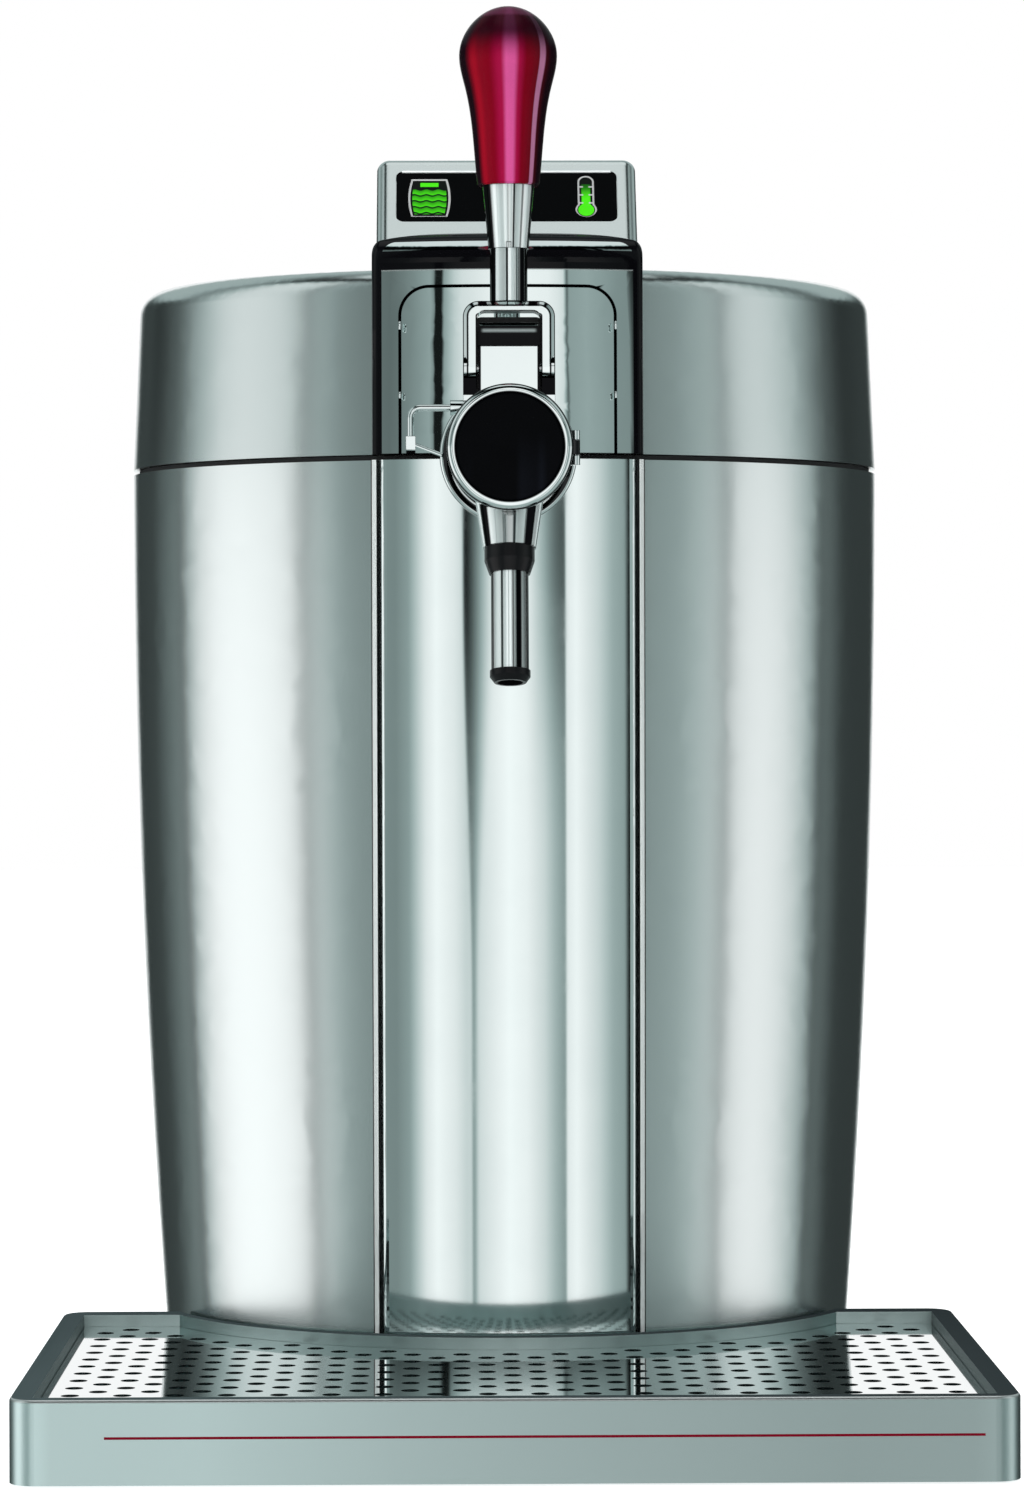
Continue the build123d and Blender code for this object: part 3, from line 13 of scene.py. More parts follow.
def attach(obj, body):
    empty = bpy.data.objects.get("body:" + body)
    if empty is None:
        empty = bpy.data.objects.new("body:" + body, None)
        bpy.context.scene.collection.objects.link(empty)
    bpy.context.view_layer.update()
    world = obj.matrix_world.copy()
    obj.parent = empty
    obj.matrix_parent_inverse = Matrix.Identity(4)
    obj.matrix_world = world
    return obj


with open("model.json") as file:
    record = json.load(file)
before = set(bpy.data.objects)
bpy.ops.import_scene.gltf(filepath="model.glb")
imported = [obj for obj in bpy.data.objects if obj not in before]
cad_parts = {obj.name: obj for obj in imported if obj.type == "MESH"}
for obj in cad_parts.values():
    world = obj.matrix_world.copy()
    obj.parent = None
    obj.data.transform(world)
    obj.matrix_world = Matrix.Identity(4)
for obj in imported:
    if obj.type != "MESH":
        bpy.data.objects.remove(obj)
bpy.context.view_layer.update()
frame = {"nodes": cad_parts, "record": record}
nodes = frame["nodes"]
slots = {part["node"]: part["material_slot"] for part in frame["record"]["subparts"]}
bpy.ops.object.select_all(action="DESELECT")

MM = 0.001
DEGREES = 180 / math.pi


def tone(*levels):
    """Opaque colour."""
    return (*levels, 1)


def grey(level):
    return tone(level, level, level)


BLACK, WHITE = grey(0.0), grey(1.0)

# ------------------------------------------------------------------------------ camera
PICTURE_TALL = 1496
FOCAL_PIXELS = 4600.0
CAMERA_PLACE = (-0.0190, -1.735, 0.2505)
CAMERA_YAW = math.radians(-0.70)
CAMERA_PITCH = math.radians(90 - 0.35)
CAMERA_ROLL = math.radians(0.16)

lens = bpy.data.cameras.new("camera")
lens.sensor_width = 36.0
lens.lens = FOCAL_PIXELS / PICTURE_TALL * lens.sensor_width
lens.clip_start = 0.01
camera = bpy.data.objects.new("camera", lens)
bpy.context.scene.collection.objects.link(camera)
camera.location = CAMERA_PLACE
camera.rotation_mode = "QUATERNION"
camera.rotation_quaternion = (
    Matrix.Rotation(CAMERA_YAW, 3, "Z")
    @ Matrix.Rotation(CAMERA_PITCH, 3, "X")
    @ Matrix.Rotation(-CAMERA_ROLL, 3, "Z")
).to_quaternion()
bpy.context.scene.camera = camera
bpy.context.scene.view_settings.view_transform = "Standard"


# ------------------------------------------------------------------------------ shader sums
class Wire:
    """A shader socket that takes part in sums."""

    def __init__(self, board, socket):
        self.board = board
        self.socket = socket

    def __add__(self, other):
        return self.board.maths("ADD", self, other)

    def __radd__(self, other):
        return self.board.maths("ADD", other, self)

    def __sub__(self, other):
        return self.board.maths("SUBTRACT", self, other)

    def __rsub__(self, other):
        return self.board.maths("SUBTRACT", other, self)

    def __mul__(self, other):
        return self.board.maths("MULTIPLY", self, other)

    def __rmul__(self, other):
        return self.board.maths("MULTIPLY", other, self)

    def __truediv__(self, other):
        return self.board.maths("DIVIDE", self, other)

    def __pow__(self, other):
        return self.board.maths("POWER", self, other)

    def __lt__(self, other):
        return self.board.maths("LESS_THAN", self, other)

    def __gt__(self, other):
        return self.board.maths("GREATER_THAN", self, other)

    def __abs__(self):
        return self.board.maths("ABSOLUTE", self)


class Board:
    """A node tree that is filled node by node."""

    def __init__(self, tree):
        self.tree = tree
        tree.nodes.clear()

    def node(self, kind, settings=None, sockets=None, out=0):
        """One node: its settings first, then its sockets' values or links."""
        made = self.tree.nodes.new(kind)
        for key, value in (settings or {}).items():
            if key == "stops":
                self.set_stops(made.color_ramp, value)
            else:
                setattr(made, key, value)
        for key, value in (sockets or {}).items():
            if isinstance(value, Wire):
                self.tree.links.new(value.socket, made.inputs[key])
            else:
                made.inputs[key].default_value = value
        return Wire(self, made.outputs[out])

    @staticmethod
    def set_stops(ramp, stops):
        while len(ramp.elements) < len(stops):
            ramp.elements.new(0.5)
        for element, (place, _) in zip(ramp.elements, stops):
            element.position = place
        for element, (_, value) in zip(ramp.elements, stops):
            element.color = value if isinstance(value, tuple) else grey(value)

    def maths(self, operation, first, second=0.0):
        return self.node("ShaderNodeMath", {"operation": operation}, {0: first, 1: second})

    def largest(self, first, second):
        return self.maths("MAXIMUM", first, second)

    def smallest(self, first, second):
        return self.maths("MINIMUM", first, second)

    def clamp(self, wire):
        return self.node("ShaderNodeClamp", None, {"Value": wire, "Min": 0.0, "Max": 1.0})

    def xyz(self, wire):
        return [self.node("ShaderNodeSeparateXYZ", None, {0: wire}, out) for out in range(3)]

    def combined(self, x, y, z):
        return self.node("ShaderNodeCombineXYZ", None, {0: x, 1: y, 2: z})

    def normalized(self, wire):
        return self.node("ShaderNodeVectorMath", {"operation": "NORMALIZE"}, {0: wire})

    def step(self, wire, low, high):
        """0 below low, 1 above high and smooth between."""
        sockets = {"Value": wire, "From Min": low, "From Max": high, "To Min": 0.0, "To Max": 1.0}
        return self.node("ShaderNodeMapRange", {"interpolation_type": "SMOOTHSTEP"}, sockets)

    def band(self, wire, coming, going):
        """1 in a band of values: it comes in over one pair of bounds and goes over another."""
        return self.step(wire, *coming) * (1.0 - self.step(wire, *going))

    def mix(self, share, first, second, blend="MIX"):
        settings = {"data_type": "RGBA", "blend_type": blend}
        return self.node("ShaderNodeMix", settings, {"Factor": share, 6: first, 7: second}, 2)

    def ramp(self, wire, low, high, stops):
        """Colours or levels by a value between low and high."""
        shares = [((place - low) / (high - low), value) for place, value in stops]
        share = self.clamp((wire - low) / (high - low))
        return self.node("ShaderNodeValToRGB", {"stops": shares}, {0: share})

    def noise(self, place, scale, detail=2.0, roughness=0.5):
        sockets = {"Vector": place, "Scale": scale, "Detail": detail, "Roughness": roughness}
        return self.node("ShaderNodeTexNoise", None, sockets)


class Finish(Board):
    """A material whose steady values sit on the shader and whose varying ones are wired."""

    def __init__(self, name, **steady):
        self.material = bpy.data.materials.new(name)
        self.material.use_nodes = True
        super().__init__(self.material.node_tree)
        self.end = self.tree.nodes.new("ShaderNodeOutputMaterial")
        self.shader = self.tree.nodes.new("ShaderNodeBsdfPrincipled")
        self.tree.links.new(self.shader.outputs[0], self.end.inputs[0])
        self.place = self.node("ShaderNodeTexCoord", out="Object")
        self.paint = None
        self.feed(**steady)

    def feed(self, **values):
        """Sets or wires the shader's sockets by their names."""
        for key, value in values.items():
            name = key.replace("_", " ").title().replace("Ior", "IOR")
            if isinstance(value, Wire):
                self.tree.links.new(value.socket, self.shader.inputs[name])
            else:
                self.shader.inputs[name].default_value = value

    def bump(self, height, strength, distance, normal=None):
        sockets = {"Height": height, "Strength": strength, "Distance": distance}
        if normal is not None:
            sockets["Normal"] = normal
        self.feed(normal=self.node("ShaderNodeBump", None, sockets))

    def facing(self):
        """The surface's own normal."""
        return self.node("ShaderNodeNewGeometry", out="Normal")

    def lifted(self, lift):
        """The surface's normal turned upwards."""
        sockets = {0: self.facing(), 1: self.combined(0.0, 0.0, lift)}
        return self.normalized(self.node("ShaderNodeVectorMath", {"operation": "ADD"}, sockets))

    def around(self, origin_y, origin_z, lean):
        """Degrees round a rod that hangs forward by a lean, from its front (0) to its back."""
        x, y, z = self.xyz(self.place)
        out = (origin_y - y) * math.cos(lean) + (z - origin_z) * math.sin(lean)
        return self.maths("ARCTAN2", x, out) * DEGREES

    def stretched(self, along_x, along_y, along_z):
        """Object coordinates scaled by axis, for grain that runs one way."""
        sockets = {"Vector": self.place, "Scale": (along_x, along_y, along_z)}
        return self.node("ShaderNodeMapping", None, sockets)

    def edge(self, radius):
        """How sharply the surface turns within a radius, 0 on flats and near 1 on edges."""
        rounded = self.node("ShaderNodeBevel", {"samples": 6}, {"Radius": radius})
        sockets = {0: rounded, 1: self.facing()}
        same = self.node("ShaderNodeVectorMath", {"operation": "DOT_PRODUCT"}, sockets, "Value")
        return self.clamp((1.0 - same) * 4.0)


# ------------------------------------------------------------------------------ studio
# Brightness by bearing in degrees, from straight ahead (0) round to the left (-) and right (+),
# near the horizon and above it, with thin dark flags between the soft boxes.
LOW_SIDES = (
    (-180, 0.55), (-168, 0.50), (-160, 0.04), (-141, 0.05), (-133, 0.05), (-114, 0.20),
    (-112.5, 0.24), (-112, 0.0), (-108.5, 0.0), (-108, 0.42), (-101, 0.76), (-91, 1.04),
    (-82, 1.08), (-73, 1.06), (-65, 1.00), (-58, 0.84), (-57.5, 0.0), (-55, 0.0), (-54.5, 0.74),
    (-51, 0.58), (-45, 0.36), (-39, 0.27), (-30, 0.25), (-26.5, 0.34), (-22, 0.82), (-19, 0.98),
    (-14, 0.84), (-11, 0.68), (-8, 0.72), (-5, 0.82), (0.7, 1.0), (5.5, 0.92), (10.3, 0.70),
    (13, 0.48), (15.9, 0.30), (16.4, 0.86), (19, 0.96), (22.3, 0.80), (25, 0.68), (29, 0.42),
    (32.5, 0.34), (33, 0.0), (35.5, 0.0), (36, 0.34), (41.6, 0.31), (47.7, 0.36), (54, 0.50),
    (61, 0.68), (61.5, 0.0), (64, 0.0), (64.5, 0.78), (68, 0.86), (76, 0.92), (85, 0.84),
    (95, 0.58), (103, 0.26), (103.5, 0.0), (107, 0.0), (107.5, 0.16), (120, 0.04), (141, 0.04),
    (160, 0.04), (168, 0.50), (180, 0.55),
)
HIGH_SIDES = (
    (-180, 0.55), (-168, 0.50), (-160, 0.04), (-141, 0.05), (-133, 0.02), (-114, 0.08),
    (-101, 0.34), (-91, 0.62), (-82, 0.72), (-73, 0.70), (-65, 0.66), (-58, 0.55), (-57.5, 0.0),
    (-55, 0.0), (-54.5, 0.46), (-51, 0.38), (-45, 0.24), (-39, 0.20), (-30, 0.15), (-26, 0.21),
    (-22, 0.30), (-19.2, 0.36), (-18.4, 0.26), (-18.0, 0.01), (-16.2, 0.01), (-15.6, 0.34),
    (-13, 0.62), (-11, 0.74), (-4, 0.88), (4, 0.92), (11, 0.88), (13.5, 0.80), (15, 0.72),
    (15.9, 0.10), (16.5, 0.34), (21, 0.38), (25, 0.34), (29, 0.28), (32.5, 0.26), (33, 0.0),
    (35.5, 0.0), (36, 0.26), (41.6, 0.25), (47.7, 0.28), (54, 0.38), (61, 0.48), (61.5, 0.0),
    (64, 0.0), (64.5, 0.56), (68, 0.64), (76, 0.66), (85, 0.58), (95, 0.34), (106, 0.10),
    (120, 0.02), (141, 0.04), (160, 0.04), (168, 0.50), (180, 0.55),
)
FRONT_FROM, FRONT_TO = -30, 25      # a ramp holds 32 stops, so three of them meet here

# Levels of the studio's other parts, and the bounds in degrees between which each comes and goes:
# RISE and FALL are heights above the horizon, SIDE is a bearing to either side.
HIGH_RISE = (2.5, 5.5)
LEFT_FLAG_RISE, LEFT_FLAG_EDGE, LEFT_FLAG_SPREAD = (-3.8, -0.3), -9.4, 2.2
LEFT_FLAG_WIDE, LEFT_FLAG_WIDENS, LEFT_FLAG_LEAST = 1.9, 7.5, 0.55
RIGHT_FLAG_RISE, RIGHT_FLAG_SIDE, RIGHT_FLAG_END = (-2.5, 0.1), (4.0, 15.6), (15.7, 16.3)
RIGHT_FLAG_MOST = 0.75
BELOW_LEVEL, BELOW_DEPTH = grey(0.40), (22.0, 34.0)
AHEAD_SIDE = (30.0, 38.0)
DARK_LEVEL, FRONT_DARK_RISE, DARK_RISE = grey(0.001), (10.8, 12.0), (50.0, 60.0)
STRIP_RISE, STRIP_FALL = (14.0, 15.0), (28.0, 29.0)     # lights the leaning spout
REAR_LEVEL, REAR_SIDE = grey(0.22), (115.0, 150.0)
REAR_HIGH_LEVEL, REAR_HIGH_SIDE = grey(0.42), (105.0, 125.0)
REAR_HIGH_RISE, REAR_HIGH_FALL = (14.0, 22.0), (50.0, 65.0)
BACKDROP_SIDE, BACKDROP_FALL = (160.0, 166.0), (24.0, 30.0)
TOP_LEVEL, TOP_RISE = grey(0.72), (66.0, 72.0)
DIM_TINT, TINTED_LEVELS = tone(0.81, 1.0, 0.985), (0.25, 0.95)      # dim parts are faintly green

world = bpy.data.worlds.new("studio")
world.use_nodes = True
bpy.context.scene.world = world
sky = Board(world.node_tree)
look_x, look_y, look_z = sky.xyz(sky.node("ShaderNodeTexCoord", out="Generated"))
bearing = sky.maths("ARCTAN2", look_x, 0.0 - look_y) * DEGREES
rise = sky.maths("ARCSINE", look_z) * DEGREES
aside = abs(bearing)


def bearing_ramp(stops, low, high):
    """Brightness by bearing between two of its stops."""
    return sky.ramp(bearing, low, high, [stop for stop in stops if low <= stop[0] <= high])


def sides(stops):
    """Brightness by bearing all round, in three ramps."""
    left = bearing_ramp(stops, -180, FRONT_FROM)
    front = bearing_ramp(stops, FRONT_FROM, FRONT_TO)
    right = bearing_ramp(stops, FRONT_TO, 180)
    return sky.mix(bearing > FRONT_TO, sky.mix(bearing > FRONT_FROM, left, front), right)


def left_flag():
    """Dark flag to the left of the spout: sharp on its left, wider and deeper further up."""
    share = sky.step(rise, *LEFT_FLAG_RISE)
    edge = LEFT_FLAG_EDGE - LEFT_FLAG_SPREAD * share
    coming = (edge - 0.5, edge + 0.3)
    going = (edge + 0.3, edge + LEFT_FLAG_WIDE + LEFT_FLAG_WIDENS * share)
    return sky.band(bearing, coming, going) * (LEFT_FLAG_LEAST + (1 - LEFT_FLAG_LEAST) * share)


def right_flag():
    """Dark flag to the right of the spout: slow on its left and sharp on its right."""
    across = sky.band(bearing, RIGHT_FLAG_SIDE, RIGHT_FLAG_END)
    return across * sky.step(rise, *RIGHT_FLAG_RISE) * RIGHT_FLAG_MOST


low_side = sides(LOW_SIDES)
for flag in (left_flag(), right_flag()):
    low_side = sky.mix(flag, low_side, BLACK)
low_side = sky.mix(sky.step(0.0 - rise, *BELOW_DEPTH), low_side, BELOW_LEVEL)
side = sky.mix(sky.step(rise, *HIGH_RISE), low_side, sides(HIGH_SIDES))

ahead = 1.0 - sky.step(aside, *AHEAD_SIDE)
strip = sky.band(rise, STRIP_RISE, STRIP_FALL) * ahead
front_dark = sky.step(rise, *FRONT_DARK_RISE) * ahead * (1.0 - strip)
dark = sky.largest(front_dark, sky.step(rise, *DARK_RISE))
dark_level = sky.mix(sky.step(aside, *REAR_SIDE), DARK_LEVEL, REAR_LEVEL)
room = sky.mix(dark, sky.mix(strip, side, low_side), dark_level)

rear_high = sky.step(aside, *REAR_HIGH_SIDE) * sky.band(rise, REAR_HIGH_RISE, REAR_HIGH_FALL)
room = sky.mix(rear_high, room, REAR_HIGH_LEVEL)
backdrop = sky.step(aside, *BACKDROP_SIDE) * (1.0 - sky.step(rise, *BACKDROP_FALL))
room = sky.mix(backdrop, room, WHITE)
room = sky.mix(sky.step(rise, *TOP_RISE), room, TOP_LEVEL)
tint = sky.mix(sky.step(sky.clamp(room), *TINTED_LEVELS), DIM_TINT, WHITE)
room = sky.mix(1.0, room, tint, "MULTIPLY")
shown = sky.mix(sky.node("ShaderNodeLightPath", out="Is Camera Ray"), room, WHITE)
background = sky.node("ShaderNodeBackground", None, {"Color": shown, "Strength": 1.0})
world_end = sky.tree.nodes.new("ShaderNodeOutputWorld")
sky.tree.links.new(background.socket, world_end.inputs[0])


def lamp(name, place, target, size, power):
    """Soft rectangular lamp that faces a target and isn't mirrored."""
    light = bpy.data.lights.new(name, "AREA")
    light.shape = "RECTANGLE"
    light.size, light.size_y = size
    light.energy = power
    made = bpy.data.objects.new(name, light)
    bpy.context.scene.collection.objects.link(made)
    made.location = place
    made.rotation_mode = "QUATERNION"
    made.rotation_quaternion = (Vector(target) - Vector(place)).to_track_quat("-Z", "Y")
    made.visible_glossy = False


lamp("lamp_top", (0.0, -0.3, 1.9), (0, 0, 0.2), (1.6, 1.6), 22.0)
lamp("lamp_left", (-1.7, -1.1, 0.9), (0, 0, 0.25), (1.0, 1.6), 20.0)
lamp("lamp_right", (1.7, -1.1, 0.9), (0, 0, 0.25), (1.0, 1.6), 9.0)

# ------------------------------------------------------------------------------ floor
FLOOR_SIZE = 12
FLOOR_GLOW = 0.76


def floor_finish():
    """Pale floor that reads near white, keeps shadows and isn't mirrored."""
    f = Finish("floor_paint", roughness=0.7, specular_ior_level=0.05)
    f.feed(base_color=f.mix(f.noise(f.place, 60.0, 3.0), grey(0.80), grey(0.84)))
    glow = f.node("ShaderNodeEmission", None, {"Color": WHITE, "Strength": FLOOR_GLOW})
    lit = Wire(f, f.shader.outputs[0])
    both = f.node("ShaderNodeAddShader", None, {0: lit, 1: glow})
    clear = f.node("ShaderNodeBsdfTransparent")
    from_camera = f.node("ShaderNodeLightPath", out="Is Camera Ray")
    from_gloss = f.node("ShaderNodeLightPath", out="Is Glossy Ray")
    seen = f.node("ShaderNodeMixShader", None, {0: from_camera, 1: lit, 2: both})
    mixed = f.node("ShaderNodeMixShader", None, {0: from_gloss, 1: seen, 2: clear})
    f.tree.links.new(mixed.socket, f.end.inputs[0])
    return f


bpy.ops.mesh.primitive_plane_add(size=FLOOR_SIZE, location=(0, 0, 0))
floor = bpy.context.object
floor.name = "floor"
floor.data.materials.append(floor_finish().material)
bpy.ops.object.select_all(action="DESELECT")

# ------------------------------------------------------------------------------ plain finishes
GRAIN_DEPTH = 0.0002
SMUDGE = 0.06
DEEP_BLACK = (0.002, 0.002, 0.003), (0.006, 0.006, 0.007)
WORN_SILVER = tone(0.95, 0.97, 0.97)


def grained(name, dark, light, rough, grain_scale, depth, **steady):
    """Finish with fine grain in colour, gloss and surface, and broad smudges in its gloss."""
    f = Finish(name, **steady)
    grain = f.noise(f.place, grain_scale, 3.0, 0.6)
    cloud = f.noise(f.place, 13.0, 4.0, 0.6)
    f.feed(base_color=f.mix(0.55 * grain + 0.45 * cloud, tone(*dark), tone(*light)))
    f.feed(roughness=rough + SMUDGE * (cloud - 0.5) + 0.5 * SMUDGE * (grain - 0.5))
    f.bump(grain, depth, GRAIN_DEPTH)
    return f


def brushed(name, dark, light, rough, stretch):
    """Metal drawn one way: long thin streaks in colour, gloss and surface."""
    f = Finish(name, metallic=1.0)
    streaks = f.noise(f.stretched(*stretch), 1.0, 3.0, 0.65)
    cloud = f.noise(f.place, 18.0, 3.0)
    f.feed(base_color=f.mix(streaks, tone(*dark), tone(*light)))
    f.feed(roughness=rough + 0.12 * (streaks - 0.5) + 0.05 * cloud)
    f.bump(streaks, 0.04, GRAIN_DEPTH)
    return f


def satin(name, rough, dark, light, foot_lift=None):
    """Metallic lacquer over moulded plastic: flake in colour and gloss, edges rubbed lighter."""
    f = Finish(name, metallic=1.0)
    flake = f.noise(f.place, 2400.0, 2.0)
    cloud = f.noise(f.place, 7.0, 4.0, 0.55)
    rub = f.edge(1.2 * MM) * f.step(f.noise(f.place, 160.0, 3.0), 0.45, 0.7)
    f.paint = f.mix(0.5 * rub, f.mix(flake, tone(*dark), tone(*light)), WORN_SILVER)
    f.feed(base_color=f.paint)
    f.feed(roughness=rough + 0.05 * (cloud - 0.5) + 0.05 * (flake - 0.5) + 0.05 * rub)
    f.bump(flake, 0.035, GRAIN_DEPTH, f.lifted(foot_lift(f)) if foot_lift else None)
    return f


# Bright plating: its darkest and lightest colour, its roughness, its edges and its dark streaks,
# the last two being painted dark reflections.
BRIGHT = ((0.84, 0.92, 0.915), (0.92, 0.99, 0.985), 0.03)
EDGE_WIDTH, EDGE_PAINTED_REFLECTION = 0.4 * MM, tone(0.03, 0.035, 0.035)
REFLECTION_PAINTED_BLACK = tone(0.004, 0.004, 0.005)


def plated(name, dark, light, rough):
    """Bright plating with faint ripple, finger smudges and dark reflections painted along its
    edges.
    """
    f = Finish(name, metallic=1.0)
    smudge = f.noise(f.place, 35.0, 5.0, 0.6)
    # painted reflection: edges are darkened in colour as if they mirrored dark
    edges = f.step(f.edge(EDGE_WIDTH), 0.12, 0.5)
    f.paint = f.mix(edges, f.mix(smudge, tone(*dark), tone(*light)), EDGE_PAINTED_REFLECTION)
    f.feed(base_color=f.paint, roughness=rough + 0.04 * f.step(smudge, 0.5, 0.8))
    rippled(f)
    return f


def rippled(f, normal=None):
    """Faint ripple of plated plastic."""
    f.bump(f.noise(f.place, 40.0, 1.0), 0.004, 0.0005, normal)


# ------------------------------------------------------------------------------ casing and lid
SILVER_DARK, SILVER_LIGHT = (0.84, 0.90, 0.895), (0.93, 0.99, 0.985)
LIFT_FOOT, LIFT_TOP, LIFT_MOST = 12 * MM, 105 * MM, 0.13
LID_COVERED_HALF, LID_COVERED_FRONT, LID_COVERED_TOP = 47 * MM, -60 * MM, 424 * MM


def casing_lift(f):
    """Tilt of the casing's foot that keeps the tray's dark grid out of its reflections."""
    _, _, z = f.xyz(f.place)
    return (1.0 - f.step(z, LIFT_FOOT, LIFT_TOP)) * LIFT_MOST


def lid_lacquer():
    """Satin silver, painted near black as shade where the front panel covers it."""
    f = satin("lid_lacquer", 0.20, SILVER_DARK, SILVER_LIGHT)
    x, y, z = f.xyz(f.place)
    # painted shade behind the front panel
    covered_painted_shade = (abs(x) < LID_COVERED_HALF) * (y < LID_COVERED_FRONT) * (z < LID_COVERED_TOP)
    f.feed(base_color=f.mix(covered_painted_shade, f.paint, tone(0.006, 0.006, 0.007)))
    return f


# ------------------------------------------------------------------------------ front plate
PLATE_HALF = 43.6 * MM
PLATE_BOW, PLATE_BOW_RIM = 6.3, 90.0        # curve at its middle, and what its rims add
PLATE_LEAN, PLATE_TAPER = 0.012, -0.10      # upward tilt at its foot, and by height
PLATE_LIFT, PLATE_LIFT_FOOT, PLATE_LIFT_TOP = 0.028, 15 * MM, 80 * MM
TRIM_PAINTED_LINES = ((45, 0.0), (47.1, 0.0), (47.4, 1.0), (48.7, 1.0), (49.0, 0.0), (50, 0.0))


def front_plating():
    """Plating of the lower front plate, its face bowed evenly from side to side."""
    f = plated("front_plate_plating", (0.82, 0.91, 0.905), (0.91, 0.99, 0.98), 0.045)
    x, _, z = f.xyz(f.place)
    bow = x * PLATE_BOW + x * x * x * PLATE_BOW_RIM
    lift = PLATE_LIFT * (1.0 - f.step(z, PLATE_LIFT_FOOT, PLATE_LIFT_TOP))
    even = f.normalized(f.combined(bow, -1.0, PLATE_LEAN + PLATE_TAPER * z + lift))
    plain = f.facing()
    _, forward, _ = f.xyz(plain)
    rippled(f, f.mix((abs(x) < PLATE_HALF) * (forward < -0.9), plain, even))
    return f


def trim_plating():
    """Plating of the trims beside the front plate: a bright bead between dark lines, that is a
    painted highlight between painted dark reflections.
    """
    f = plated("trim_plating", (0.86, 0.93, 0.925), (0.94, 1.0, 0.99), 0.05)
    x, _, _ = f.xyz(f.place)
    # painted highlight on the bead, painted dark reflections on the lines beside it
    bead = f.ramp(abs(x) / MM, 45, 50, TRIM_PAINTED_LINES)
    f.feed(base_color=f.mix(bead, tone(0.012, 0.013, 0.014), tone(0.96, 0.99, 0.98)))
    f.feed(metallic=1.0 - 0.7 * bead)
    return f


# ------------------------------------------------------------------------------ tap and lever
TAP_Z = 345 * MM
LEVER_Y = -121.5 * MM
SPOUT_Y, SPOUT_LEAN = -118.5 * MM, math.radians(12)
BLOCK_HALF, BLOCK_FOOT = 9.7 * MM, 364 * MM
FORK_HALF, FORK_TOP, FORK_CORNER = 16.1 * MM, 397 * MM, 5.5 * MM
# Painted reflections, as levels from black (0) to bright plating (1):
# by degrees round a rod's axis from its front,
FERRULE_BANDS = (
    (-180, 0.9), (-140, 0.9), (-136, 0.0), (-124, 0.0), (-120, 0.8), (-92, 0.9), (-88, 0.0),
    (-47, 0.0), (-42, 0.55), (-36, 1.0), (-4, 0.95), (-2, 0.25), (0, 0.8), (9, 0.9), (11, 0.02),
    (14, 0.02), (15.5, 0.9), (31, 0.95), (33, 0.05), (36, 0.35), (38, 0.9), (60, 1.0), (66, 0.0),
    (88, 0.0), (92, 0.9), (120, 0.8), (124, 0.0), (136, 0.0), (140, 0.9), (180, 0.9),
)
STEM_BANDS = (
    (-180, 0.9), (-140, 0.9), (-136, 0.0), (-124, 0.0), (-120, 0.8), (-92, 0.9), (-88, 0.0),
    (-46, 0.0), (-42, 0.9), (-9, 0.85), (-8, 0.0), (-3, 0.0), (-2, 1.0), (21, 1.0), (22.5, 0.1),
    (25, 0.5), (31, 0.35), (38, 0.0), (52, 0.0), (56, 0.35), (60, 0.0), (88, 0.0), (92, 0.9),
    (120, 0.8), (124, 0.0), (136, 0.0), (140, 0.9), (180, 0.9),
)
CONE_BANDS = (
    (-180, 0.9), (-140, 0.9), (-136, 0.0), (-124, 0.0), (-120, 0.8), (-88, 0.9), (-66, 0.9),
    (-63, 0.0), (-46, 0.0), (-42, 0.9), (-15, 0.9), (-13, 0.45), (5, 0.6), (8, 0.05), (11, 0.1),
    (13, 0.95), (30, 0.95), (34, 0.0), (53, 0.0), (56, 1.0), (74, 1.0), (78, 0.0), (88, 0.0),
    (92, 0.9), (120, 0.8), (124, 0.0), (136, 0.0), (140, 0.9), (180, 0.9),
)
SPOUT_BANDS = (
    (-180, 0.9), (-140, 0.9), (-136, 0.0), (-124, 0.0), (-120, 0.8), (-90, 0.9), (-86, 0.0),
    (-63, 0.0), (-59, 0.8), (-30, 0.9), (-27, 0.05), (-23, 0.1), (-20, 1.0), (6, 1.0), (8, 0.1),
    (11, 0.15), (13, 0.7), (17, 0.6), (20, 0.0), (35, 0.0), (39, 0.45), (59, 0.5), (63, 0.0),
    (86, 0.0), (90, 0.9), (120, 0.8), (124, 0.0), (136, 0.0), (140, 0.9), (180, 0.9),
)
# by millimetres inward from the outline of the lever's fork,
FORK_BANDS = (
    (0, 0.0), (0.25, 0.0), (0.4, 0.85), (1.2, 0.85), (1.4, 0.0), (1.8, 0.0), (2.0, 1.0), (4.3, 1.0),
    (4.5, 0.0), (6, 0.0),
)
# and by millimetres from the tap's axis.
COVER_RINGS = ((16, 0.0), (19.1, 0.0), (19.5, 1.0), (21.2, 1.0), (21.6, 0.04), (26, 0.0))
FLANGE_RINGS = (
    (16, 0.9), (21.2, 0.9), (21.6, 0.02), (23.2, 0.02), (23.5, 1.0), (24.2, 0.95), (24.4, 0.05),
    (26, 0.0),
)


def banded(name, origin_y, origin_z, lean, bands):
    """Plating of a round rod with the dark streaks such a rod mirrors, painted into its colour."""
    f = plated(name, *BRIGHT)
    level = f.ramp(f.around(origin_y, origin_z, lean), -180, 180, bands)
    # painted reflection: dark streaks by the angle round the rod
    f.feed(base_color=f.mix(level, REFLECTION_PAINTED_BLACK, f.paint), metallic=1.0 - 0.5 * level)
    return f


